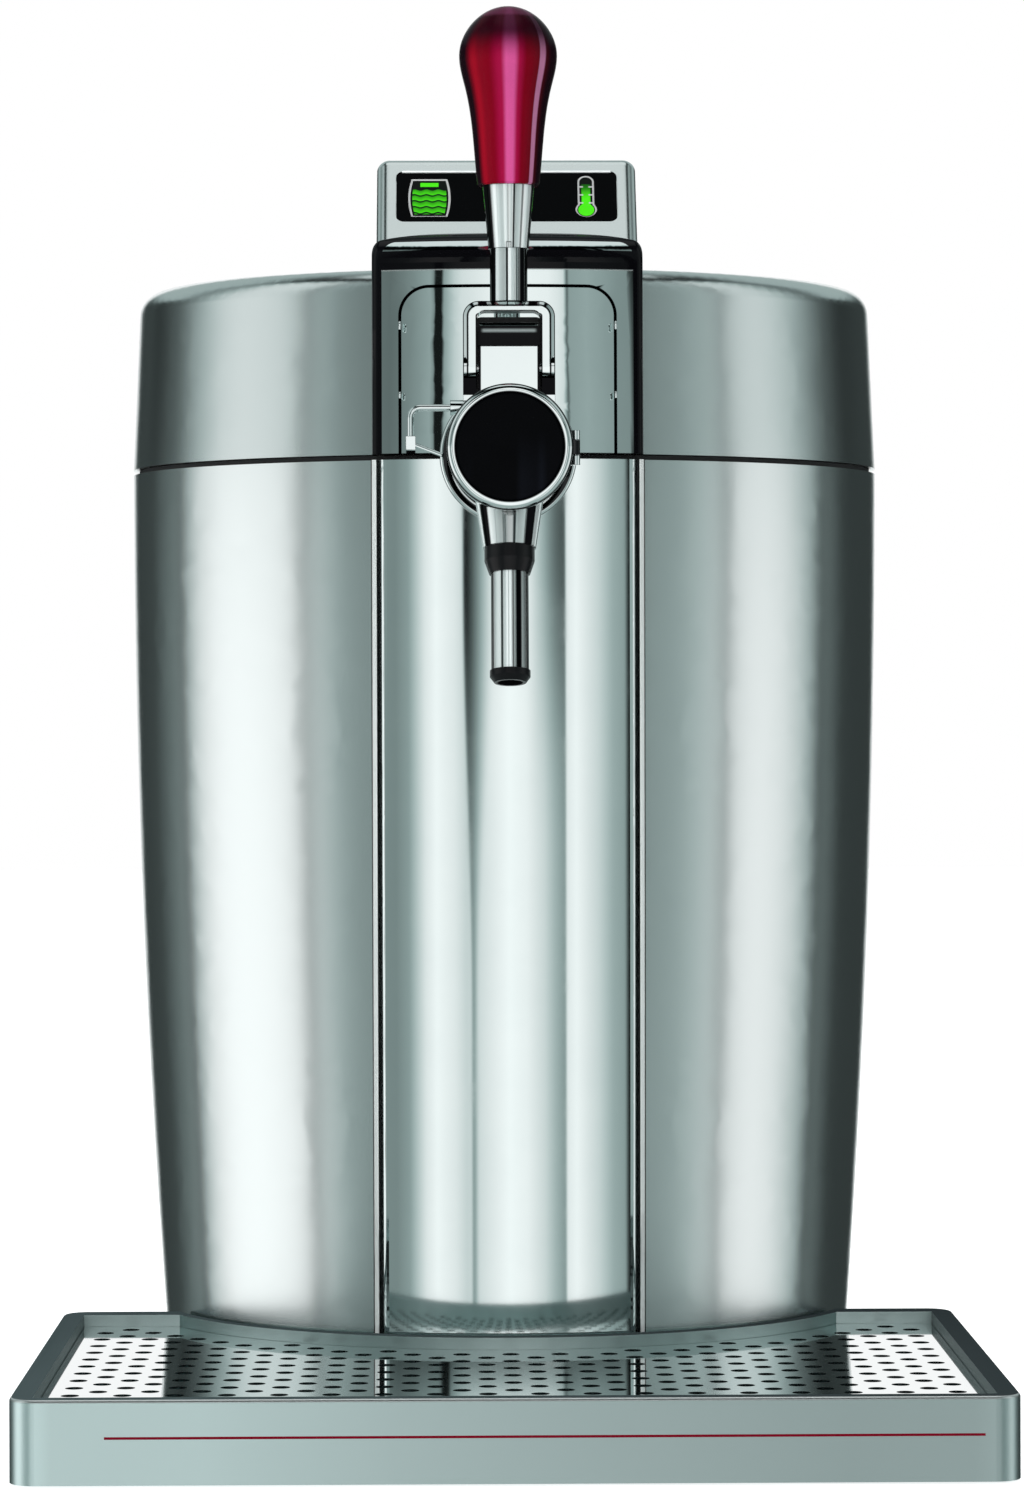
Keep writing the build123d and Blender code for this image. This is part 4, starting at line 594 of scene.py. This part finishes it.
def ringed(name, rings):
    """Plating round the tap's axis with dark reflections painted as rings."""
    f = plated(name, *BRIGHT)
    x, _, z = f.xyz(f.place)
    up = z - TAP_Z
    reach = (x * x + up * up) ** 0.5 / MM
    # painted reflection: dark rings by the distance from the tap's axis
    f.feed(base_color=f.mix(f.ramp(reach, 16, 26, rings), REFLECTION_PAINTED_BLACK, f.paint))
    return f


def tap_plating():
    """Plating of the tap's body, painted dark as shade beside the lever's block."""
    f = plated("tap_plating", *BRIGHT)
    x, _, z = f.xyz(f.place)
    # painted shade: dark in the gaps beside the lever's block
    beside = f.step(abs(x), BLOCK_HALF, BLOCK_HALF + 0.3 * MM) * (z > BLOCK_FOOT)
    f.feed(base_color=f.mix(beside, f.paint, tone(0.006, 0.006, 0.007)))
    return f


def arch_distance(f, half, top, corner):
    """How far a point lies outside an arch with rounded upper corners."""
    x, _, z = f.xyz(f.place)
    out_x = f.largest(abs(x) - (half - corner), 0.0)
    out_z = f.largest(z - (top - corner), 0.0)
    return (out_x * out_x + out_z * out_z) ** 0.5 - corner


def fork_plating():
    """Plating of the lever's fork with a painted dark reflection along the middle and edges of its
    arch.
    """
    f = plated("fork_plating", *BRIGHT)
    inward = (0.0 - arch_distance(f, FORK_HALF, FORK_TOP, FORK_CORNER)) / MM
    # painted reflection: dark lines by the distance inward from the arch
    f.feed(base_color=f.mix(f.ramp(inward, 0, 6, FORK_BANDS), REFLECTION_PAINTED_BLACK, f.paint))
    return f


# ------------------------------------------------------------------------------ front panels
# Arch of the tap's panel with the groove round it, and arch of the lid's panel with its border;
# both are painted dark.
DOOR_HALF, DOOR_TOP, DOOR_CORNER, DOOR_GROOVE = 38.2 * MM, 405.5 * MM, 10 * MM, 0.9 * MM
PANEL_HALF, PANEL_TOP, PANEL_CORNER, PANEL_BORDER = 48.8 * MM, 426 * MM, 9 * MM, 3.6 * MM
# painted reflection: a dark band where the panel's top turns back
PAINTED_BAND_FOOT, PAINTED_BAND_TOP = 412.0 * MM, 419.0 * MM      # dark band where the panel's top turns back
# black painted as shade and dark reflections on the panels, and the pinch block's own black
PAINTED_SHADE_AND_MOULDING_BLACK = tone(0.003, 0.003, 0.004)


def panel_plating(name, inside):
    """Plating of a panel painted black: as shade in the groove, and as dark reflections round the
    rim and where its top turns back.
    """
    f = plated(name, (0.84, 0.93, 0.925), (0.92, 1.0, 0.99), 0.02)
    beyond = arch_distance(f, DOOR_HALF, DOOR_TOP, DOOR_CORNER)
    groove = beyond > -0.1 * MM if inside else beyond < DOOR_GROOVE + 0.1 * MM
    border = arch_distance(f, PANEL_HALF, PANEL_TOP, PANEL_CORNER) > -PANEL_BORDER
    _, _, z = f.xyz(f.place)
    top_painted_band = f.step(z, PAINTED_BAND_FOOT - 0.5 * MM, PAINTED_BAND_FOOT + 0.3 * MM) * (z < PAINTED_BAND_TOP)
    # painted shade in the groove, painted dark reflections round the rim and along the top
    metal_off = f.largest(f.largest(groove, border), top_painted_band)
    f.feed(base_color=f.mix(metal_off, f.paint, PAINTED_SHADE_AND_MOULDING_BLACK), metallic=1.0 - metal_off)
    f.feed(specular_ior_level=0.15)
    return f


# ------------------------------------------------------------------------------ drip tray
TRAY_END = 160 * MM
TRAY_FACE, TRAY_FRONT = -233.3 * MM, -222 * MM      # flat face of the front, and its upper edge
STRIPE_Z, STRIPE_HALF = 16.3 * MM, 0.43 * MM
STRIPE_LEFT, STRIPE_RIGHT = -134.5 * MM, 153.7 * MM
STRIPE_DEEP, STRIPE_BRIGHT = tone(0.16, 0.002, 0.012), tone(0.26, 0.006, 0.022)
# the front's lightest tone, and the painted highlight along its top edge
TRAY_LIGHT, CROWN_PAINTED_HIGHLIGHT = tone(0.80, 0.98, 0.97), tone(0.97, 1.0, 1.0)
# painted shade of the rims and inner walls, lighter on the left than on the right
RIM_PAINTED_SHADE_LEFT, RIM_PAINTED_SHADE_RIGHT = tone(0.072, 0.096, 0.100), tone(0.036, 0.044, 0.047)
RIM_PAINTED_SHADE_STREAK = tone(0.024, 0.036, 0.038)
TRAY_BRIGHTEST = 1.4
# Painted light and shade of the front: its brightness by millimetres along it, with painted
# highlights near its rounded corners.
TRAY_PAINTED_LIGHT = (
    (-180, 0.8), (-166, 0.9), (-163, 1.30), (-157, 1.40), (-152, 1.24), (-130, 1.21), (-103, 1.20),
    (-40, 0.97), (35, 0.83), (110, 0.73), (150, 0.75), (158, 0.82), (162, 1.02), (166, 1.0),
    (170, 0.7), (180, 0.6),
)


def tray_lacquer():
    """Satin silver of the tray: rims and inner walls painted dim as shade, the front painted with
    light and shade and a highlight along its top edge, and a thin red line.
    """
    f = satin("tray_lacquer", 0.36, (0.52, 0.64, 0.63), (0.60, 0.72, 0.71))
    x, y, z = f.xyz(f.place)
    sideways, _, upward = f.xyz(f.facing())

    tones = [(place, value / TRAY_BRIGHTEST) for place, value in TRAY_PAINTED_LIGHT]
    # painted light and shade along the front
    front = (y < TRAY_FRONT) * (1.0 - f.step(upward, 0.4, 0.8))
    shaded = f.mix(front * f.ramp(x / MM, -180, 180, tones), BLACK, TRAY_LIGHT)
    paint = f.mix(front, f.paint, shaded)

    # painted shade: rims and inner walls darkened, with streaks
    inner = f.step(abs(sideways), 0.5, 0.8) * (x * sideways < 0.0)
    dim = f.largest(f.step(upward, 0.35, 0.85), 0.8 * inner)
    streak = f.noise(f.stretched(60.0, 6.0, 60.0), 1.0, 2.0)
    rim = f.mix(f.step(x, -TRAY_END, TRAY_END), RIM_PAINTED_SHADE_LEFT, RIM_PAINTED_SHADE_RIGHT)
    paint = f.mix(dim, paint, f.mix(0.5 * streak, rim, RIM_PAINTED_SHADE_STREAK))

    # painted highlight along the front's top edge
    crown_painted_highlight = f.band(upward, (0.12, 0.35), (0.75, 0.9)) * (y < TRAY_FRONT)
    paint = f.mix(crown_painted_highlight, paint, CROWN_PAINTED_HIGHLIGHT)

    line = (abs(z - STRIPE_Z) < STRIPE_HALF) * (x > STRIPE_LEFT) * (x < STRIPE_RIGHT)
    line = line * (y < TRAY_FACE)
    ink = f.mix(f.noise(f.place, 900.0), STRIPE_DEEP, STRIPE_BRIGHT)
    # metal is off on the red line and on the painted shade
    metal_off = f.largest(0.9 * line, dim * (1.0 - crown_painted_highlight))
    f.feed(base_color=f.mix(line, paint, ink), metallic=1.0 - metal_off, specular_ior_level=0.0)
    return f


# ------------------------------------------------------------------------------ display
SLOPE_LEAN = math.radians(35)
SLOPE_Y, SLOPE_Z = -76.5 * MM, 424 * MM
OUTLINE_GREY, OUTLINE_GLOW = tone(0.42, 0.43, 0.43), grey(0.1)
UNLIT = tone(0.004, 0.006, 0.005)
GREEN_DEEP, GREEN_BRIGHT = tone(0.004, 0.085, 0.002), tone(0.050, 0.60, 0.004)
# The symbols' sizes are in millimetres along the display's slope.
KEG_X, KEG_FOOT, KEG_TALL, KEG_WAIST, KEG_BELLY = -28.0, 10.1, 18.5, 6.5, 7.7
KEG_LINE, KEG_MARGIN = 0.78, 1.5
WAVE_TALL, WAVE_TURN = 0.32, 1.45
BAR_PITCH, BAR_SHIFT, BAR_GAP, BARS_FOOT, BARS_TOP = 2.85, 30.2, 0.24, -7.6, 4.3
KEG_CAP_UP, KEG_CAP_TALL, KEG_CAP_WIDE = 6.5, 0.95, 3.3
TUBE_X, TUBE_FOOT, TUBE_TOP, TUBE_HALF, BULB = 28.8, 9.9, 13.3, 3.0, 3.9
TUBE_LINE, COLUMN_HALF, COLUMN_TOP, BULB_LIT = 0.65, 1.6, 12.2, 2.9
TICK_PITCH, TICK_SHARE, TICKS_FOOT, TICKS_TOP, TICK_INNER = 3.85, 0.17, 2.5, 12.0, 1.0


def black_glass():
    """Display window: near black, very smooth, with faint dust and wipe marks."""
    f = Finish("black_glass", specular_ior_level=0.02)
    dust = f.step(f.noise(f.place, 2200.0, 2.0), 0.70, 0.78)
    wipe = f.noise(f.stretched(25.0, 120.0, 120.0), 1.0, 3.0)
    f.feed(base_color=f.mix(dust, tone(0.0012, 0.0015, 0.0018), tone(0.010, 0.011, 0.012)))
    f.feed(roughness=0.07 + 0.10 * f.step(wipe, 0.45, 0.8) + 0.1 * dust)
    return f


def slope_place(f):
    """Place on the display's sloping face in millimetres: across, and up along the slope."""
    x, y, z = f.xyz(f.place)
    up = (y - SLOPE_Y) * math.sin(SLOPE_LEAN) + (z - SLOPE_Z) * math.cos(SLOPE_LEAN)
    return x / MM, up / MM


def lit_symbol(f, outline, green, depth):
    """Printed outline and lit green fill on dark glass."""
    fill = f.mix(depth, GREEN_DEEP, GREEN_BRIGHT)
    fleck = 0.9 + 0.2 * f.noise(f.place, 3000.0)
    f.feed(base_color=f.mix(outline, f.mix(green, UNLIT, fill), OUTLINE_GREY))
    f.feed(emission_color=f.mix(outline, f.mix(green, BLACK, fill), OUTLINE_GLOW))
    f.feed(emission_strength=0.25, roughness=0.18 + 0.1 * fleck, specular_ior_level=0.05)
    return f


def volume_lights():
    """Barrel outline with a green cap and four wavy green bars."""
    f = Finish("volume_lights")
    across, up = slope_place(f)
    u = across - KEG_X
    v = up - (KEG_FOOT + KEG_TALL / 2)
    swell = 1.0 - (v / (KEG_TALL / 2)) ** 2.0
    flank = KEG_WAIST + (KEG_BELLY - KEG_WAIST) * swell - abs(u)
    inside = f.smallest(flank, KEG_TALL / 2 - abs(v))
    wave = v + WAVE_TALL * f.maths("SINE", u * WAVE_TURN)
    share = f.maths("FRACT", (wave + BAR_SHIFT) / BAR_PITCH)
    bars = (share > BAR_GAP) * (v < BARS_TOP) * (v > BARS_FOOT) * (inside > KEG_MARGIN)
    cap = (abs(v - KEG_CAP_UP) < KEG_CAP_TALL) * (abs(u) < KEG_CAP_WIDE)
    depth = f.largest(1.0 - 0.75 * share, cap)
    return lit_symbol(f, inside < KEG_LINE, f.largest(bars, cap), depth)


def temperature_lights():
    """Thermometer outline with ticks, its column and bulb lit green."""
    f = Finish("temperature_lights")
    across, up = slope_place(f)
    u = across - TUBE_X
    v = up - (TUBE_FOOT + BULB)
    from_bulb = (u * u + v * v) ** 0.5
    over_top = f.largest(v - TUBE_TOP, 0.0)
    under = f.largest(0.0 - v, 0.0)
    from_tube = (u * u + over_top * over_top + under * under) ** 0.5
    inside = f.largest(BULB - from_bulb, TUBE_HALF - from_tube)
    ticks = f.maths("FRACT", (v - 3.0) / TICK_PITCH) < TICK_SHARE
    ticks = ticks * (v > TICKS_FOOT) * (v < TICKS_TOP) * (abs(u) > TICK_INNER)
    column = (abs(u) < COLUMN_HALF) * (v < COLUMN_TOP) * (v > 0.0)
    green = f.largest(column, from_bulb < BULB_LIT)
    depth = 1.0 - f.step(v, 5.0, 12.0)
    return lit_symbol(f, f.largest(inside < TUBE_LINE, ticks), green, depth)


# ------------------------------------------------------------------------------ knob and badge
# Lacquer of the knob by degrees round its axis, 0 at its front, with light and shade painted in:
# red with painted dark flanks, a painted streak on the left, a painted glow with a glare in its
# middle, a painted pale line near the right flank, and a red back.
KNOB_PAINTED_FLANK_SHADE, KNOB_RED = tone(0.01, 0.003, 0.006), tone(0.24, 0.001, 0.012)
KNOB_BACK = tone(0.34, 0.01, 0.04)
KNOB_PAINTED_STREAK, KNOB_PAINTED_GLOW = tone(0.34, 0.002, 0.015), tone(0.42, 0.006, 0.06)
KNOB_PAINTED_GLARE, KNOB_PAINTED_LINE = tone(0.80, 0.11, 0.36), tone(0.50, 0.19, 0.34)
RED_COMING, RED_GOING, BACK_TURN = (-64, -48), (20, 64), (95, 155)
STREAK_COMING, STREAK_GOING = (-56, -46), (-46, -36)
GLOW_COMING, GLOW_GOING = (-26, -10), (13, 23)
GLARE_COMING, GLARE_GOING = (-10, -2), (6, 14)
LINE_COMING, LINE_GOING = (39, 41), (48, 51)
CAP_FOOT, CAP_FULL = 479 * MM, 491 * MM
GLEAM_COMING, GLEAM_GOING = (495.5 * MM, 497.0 * MM), (499.2 * MM, 500.0 * MM)
CAP_PAINTED_SHADE, CAP_PAINTED_GLEAM = tone(0.006, 0.001, 0.004), tone(0.055, 0.014, 0.034)
# painted glint of the pinch block: its height, tallness and half width
GLINT_Z, GLINT_TALL, GLINT_ACROSS = 386.6 * MM, 1.0 * MM, 8.6 * MM
# Faint upright reflections painted on the badge, by millimetres across it.
BADGE_PAINTED_REFLECTIONS = (
    (-20, 0.0), (-14, 0.10), (-12, 0.0), (2, 0.0), (4, 0.5), (9, 0.25), (11, 0.8), (13, 0.1),
    (20, 0.0),
)


def red_lacquer():
    """Deep red lacquer with flake: painted light and shade in bands down its sides, a cap painted
    dark as a reflection with a painted gleam, and hairline scratches.
    """
    f = Finish("red_lacquer", coat_roughness=0.10, coat_weight=0.02, specular_ior_level=0.03)
    flake = f.noise(f.place, 2600.0, 2.0)
    cloud = f.noise(f.place, 25.0, 3.0)
    scratch = f.step(f.noise(f.stretched(900.0, 900.0, 40.0), 1.0, 2.0), 0.68, 0.76)
    turn = f.around(LEVER_Y, 0.0, 0.0)
    _, _, z = f.xyz(f.place)
    # painted light and shade: bands of colour by the angle round the knob
    lit = f.mix(f.step(abs(turn), *BACK_TURN), KNOB_PAINTED_FLANK_SHADE, KNOB_BACK)
    lit = f.mix(f.band(turn, RED_COMING, RED_GOING), lit, KNOB_RED)
    lit = f.mix(f.band(turn, STREAK_COMING, STREAK_GOING), lit, KNOB_PAINTED_STREAK)
    lit = f.mix(f.band(turn, GLOW_COMING, GLOW_GOING), lit, KNOB_PAINTED_GLOW)
    lit = f.mix(f.band(turn, GLARE_COMING, GLARE_GOING), lit, KNOB_PAINTED_GLARE)
    lit = f.mix(f.band(turn, LINE_COMING, LINE_GOING), lit, KNOB_PAINTED_LINE)
    lit = f.mix(0.3 * flake, lit, f.mix(0.5, lit, BLACK))
    # painted dark reflection on the cap, with a painted gleam near its top
    cap = f.step(z + 2.0 * MM * (cloud - 0.5), CAP_FOOT, CAP_FULL)
    cap_painted_gleam = f.band(z, GLEAM_COMING, GLEAM_GOING) * (1.0 - f.step(abs(turn), 55.0, 75.0))
    f.feed(base_color=f.mix(f.clamp(0.94 * cap), lit, f.mix(cap_painted_gleam, CAP_PAINTED_SHADE, CAP_PAINTED_GLEAM)))
    f.feed(roughness=0.24 + 0.08 * (flake - 0.5) + 0.05 * (cloud - 0.5) + 0.1 * scratch)
    f.bump(flake, 0.03, GRAIN_DEPTH)
    return f


def pinch_moulding():
    """Polished black moulding with a glint painted along its upper edge."""
    f = grained("pinch_moulding", *DEEP_BLACK, 0.12, 1500.0, 0.03, specular_ior_level=0.08)
    x, _, z = f.xyz(f.place)
    # painted highlight: a pale glint band
    glint = 1.0 - f.step(abs(z - GLINT_Z), 0.0, GLINT_TALL)
    glint = glint * (1.0 - f.step(abs(x), GLINT_ACROSS, GLINT_ACROSS + 1.5 * MM))
    f.feed(base_color=f.mix(glint, PAINTED_SHADE_AND_MOULDING_BLACK, tone(0.30, 0.34, 0.34)))
    return f


def badge_gloss():
    """Polished black badge with faint upright reflections painted as streaks."""
    f = Finish("badge_gloss", specular_ior_level=0.02)
    dust = f.step(f.noise(f.place, 2200.0, 2.0), 0.72, 0.80)
    cloud = f.noise(f.place, 60.0, 3.0)
    x, _, z = f.xyz(f.place)
    # painted reflection: faint upright streaks, stronger towards the bottom
    streaks = f.ramp(x / MM, -20, 20, BADGE_PAINTED_REFLECTIONS) * f.step(TAP_Z - z, -8 * MM, 14 * MM)
    black = f.mix(cloud, tone(0.0010, 0.0012, 0.0016), tone(0.0022, 0.0025, 0.0032))
    black = f.mix(0.7 * streaks, black, tone(0.009, 0.011, 0.017))
    f.feed(base_color=f.mix(dust, black, tone(0.008, 0.009, 0.010)))
    f.feed(roughness=0.08 + 0.08 * dust + 0.05 * cloud)
    return f


# ------------------------------------------------------------------------------ inner finishes
def circuit_board():
    """Green board with copper tracks under its lacquer."""
    f = Finish("green_board")
    tracks = {"Vector": f.stretched(90.0, 90.0, 90.0), "Scale": 3.0, "Mortar Size": 0.06}
    colours = {
        "Color1": tone(0.006, 0.09, 0.03),
        "Color2": tone(0.010, 0.12, 0.04),
        "Mortar": tone(0.10, 0.34, 0.12),
    }
    cells = f.node("ShaderNodeTexBrick", {"offset": 0.5}, {**tracks, **colours})
    grain = f.noise(f.place, 1200.0, 3.0)
    f.feed(base_color=f.mix(0.15 * grain, cells, tone(0.3, 0.4, 0.3)))
    f.feed(roughness=0.35 + 0.2 * grain)
    f.bump(f.node("ShaderNodeTexBrick", {"offset": 0.5}, tracks, "Fac"), 0.2, GRAIN_DEPTH)
    return f


def foam_filling():
    """Rigid insulation foam with open cells."""
    f = Finish("foam_filling", specular_ior_level=0.2)
    cells = f.node("ShaderNodeTexVoronoi", None, {"Vector": f.place, "Scale": 900.0})
    cloud = f.noise(f.place, 30.0, 4.0)
    paint = f.mix(0.5 * cells + 0.5 * cloud, tone(0.62, 0.56, 0.40), tone(0.86, 0.82, 0.68))
    f.feed(base_color=paint, roughness=0.8 + 0.15 * cells)
    f.bump(cells, 0.5, 0.0006)
    return f


# ------------------------------------------------------------------------------ pieces' finishes
plating = plated("chrome_plating", (0.82, 0.90, 0.895), (0.90, 0.97, 0.965), 0.03)
slot_finish = {
    "satin_silver": satin("body_lacquer", 0.19, SILVER_DARK, SILVER_LIGHT, casing_lift),
    "chromed_plastic": plating,
    "stainless": brushed(
        "stainless_drawn", (0.66, 0.71, 0.71), (0.84, 0.88, 0.88), 0.10, (700.0, 700.0, 40.0)
    ),
    "steel": grained(
        "screw_steel", (0.50, 0.52, 0.53), (0.68, 0.70, 0.71), 0.24, 900.0, 0.06, metallic=1.0
    ),
    "black_plastic": grained(
        "black_moulding", *DEEP_BLACK, 0.28, 1700.0, 0.08, specular_ior_level=0.25
    ),
    "black_gloss": grained(
        "black_polished", (0.0012, 0.0015, 0.0018), (0.003, 0.0035, 0.004), 0.10, 900.0, 0.01,
        specular_ior_level=0.02,
    ),
    "red_lacquer": red_lacquer(),
    "green_symbol": volume_lights(),
    "white_plastic": grained(
        "white_moulding", (0.74, 0.75, 0.73), (0.83, 0.84, 0.82), 0.32, 1300.0, 0.05
    ),
    "foam": foam_filling(),
    "rubber": grained("rubber", (0.010, 0.010, 0.011), (0.028, 0.028, 0.029), 0.72, 1100.0, 0.25),
    "aluminium": brushed(
        "bare_aluminium", (0.66, 0.68, 0.69), (0.84, 0.86, 0.87), 0.30, (60.0, 60.0, 2500.0)
    ),
    "circuit": circuit_board(),
    "ceramic": grained("ceramic", (0.72, 0.73, 0.71), (0.86, 0.86, 0.84), 0.45, 1600.0, 0.15),
}
node_finish = {
    "lid_shell": lid_lacquer(),
    "drip_tray": tray_lacquer(),
    "drip_grid": grained(
        "grid_polish", (0.78, 0.83, 0.83), (0.90, 0.94, 0.94), 0.035, 700.0, 0.008, metallic=1.0
    ),
    "lower_front_plate": front_plating(),
    "band_trims": trim_plating(),
    "tap_panel": panel_plating("tap_panel_plating", True),
    "upper_front_panel": panel_plating("front_panel_plating", False),
    "display_window": black_glass(),
    "temperature_symbol": temperature_lights(),
    "tap_body": tap_plating(),
    "tap_cover": ringed("cover_plating", COVER_RINGS),
    "tap_flange": ringed("flange_plating", FLANGE_RINGS),
    "cover_badge": badge_gloss(),
    "spout_cone": banded("cone_plating", SPOUT_Y, TAP_Z, SPOUT_LEAN, CONE_BANDS),
    "spout_tube": banded("spout_polish", SPOUT_Y, TAP_Z, SPOUT_LEAN, SPOUT_BANDS),
    "lever_fork": fork_plating(),
    "lever_stem": banded("stem_plating", LEVER_Y, 0.0, 0.0, STEM_BANDS),
    "lever_ferrule": banded("ferrule_plating", LEVER_Y, 0.0, 0.0, FERRULE_BANDS),
    "pinch_block": pinch_moulding(),
    "pinch_bar": plated("dark_chrome", (0.10, 0.11, 0.11), (0.16, 0.17, 0.17), 0.05),
}
for name, item in nodes.items():
    item.data.materials.clear()
    item.data.materials.append(node_finish.get(name, slot_finish[slots[name]]).material)


# ------------------------------------------------------------------------------ added pieces
def finished(name, piece, body, finish):
    """Leaves a piece at the origin with its own mesh, finish and carrier."""
    piece.name = name
    bpy.ops.object.transform_apply(location=True, rotation=True, scale=True)
    bpy.ops.object.select_all(action="DESELECT")
    piece.data.materials.clear()
    piece.data.materials.append(finish.material)
    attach(piece, body)


def bar(name, middle, size, bevel, body, finish, turn=(0, 0, 0)):
    """Small bar with rounded edges."""
    bpy.ops.object.select_all(action="DESELECT")
    bpy.ops.mesh.primitive_cube_add(size=1, location=middle, rotation=turn)
    piece = bpy.context.object
    piece.scale = size
    bpy.ops.object.transform_apply(location=False, rotation=False, scale=True)
    bpy.ops.object.mode_set(mode="EDIT")
    bpy.ops.mesh.select_all(action="SELECT")
    bpy.ops.mesh.bevel(offset=bevel, segments=3, affect="EDGES", clamp_overlap=True)
    bpy.ops.object.mode_set(mode="OBJECT")
    bpy.ops.object.shade_smooth_by_angle(angle=math.radians(40))
    finished(name, piece, body, finish)


def on_slope(across, up, out):
    """Point of the display's slope, in millimetres across, up and out of it."""
    sine, cosine = math.sin(SLOPE_LEAN), math.cos(SLOPE_LEAN)
    return (
        across * MM,
        SLOPE_Y + (up * sine - out * cosine) * MM,
        SLOPE_Z + (up * cosine + out * sine) * MM,
    )


# Painted highlight: a pale strip standing in for the bright edge along the top of the display's
# window.
WINDOW_EDGE_UP, WINDOW_EDGE_OUT = 31.75, 0.12
WINDOW_EDGE_SIZE = (76.0 * MM, 0.7 * MM, 0.8 * MM)
BAR_BEVEL = 0.2 * MM
window_highlight_white = grained("window_highlight_white", (0.80, 0.84, 0.84), (0.90, 0.93, 0.93), 0.3, 1800.0, 0.02)
bar("window_highlight_strip", on_slope(0, WINDOW_EDGE_UP, WINDOW_EDGE_OUT), WINDOW_EDGE_SIZE, BAR_BEVEL,
    "lid", window_highlight_white, turn=(-SLOPE_LEAN, 0, 0))

# Clips that show in the groove beside the tap's panel, by foot and top in millimetres.
CLIPS = ((390.2, 393.2), (365.6, 368.0))
CLIP_Y, CLIP_DEEP = -88.0 * MM, 1.6 * MM
for hand, tag in ((-1, "left"), (1, "right")):
    for number, (foot, top) in enumerate(CLIPS):
        middle = (hand * (DOOR_HALF + DOOR_GROOVE / 2), CLIP_Y, (foot + top) / 2 * MM)
        size = (DOOR_GROOVE - 0.1 * MM, CLIP_DEEP, (top - foot) * MM)
        bar(f"groove_clip_{tag}_{number}", middle, size, BAR_BEVEL, "lid",
            plating)
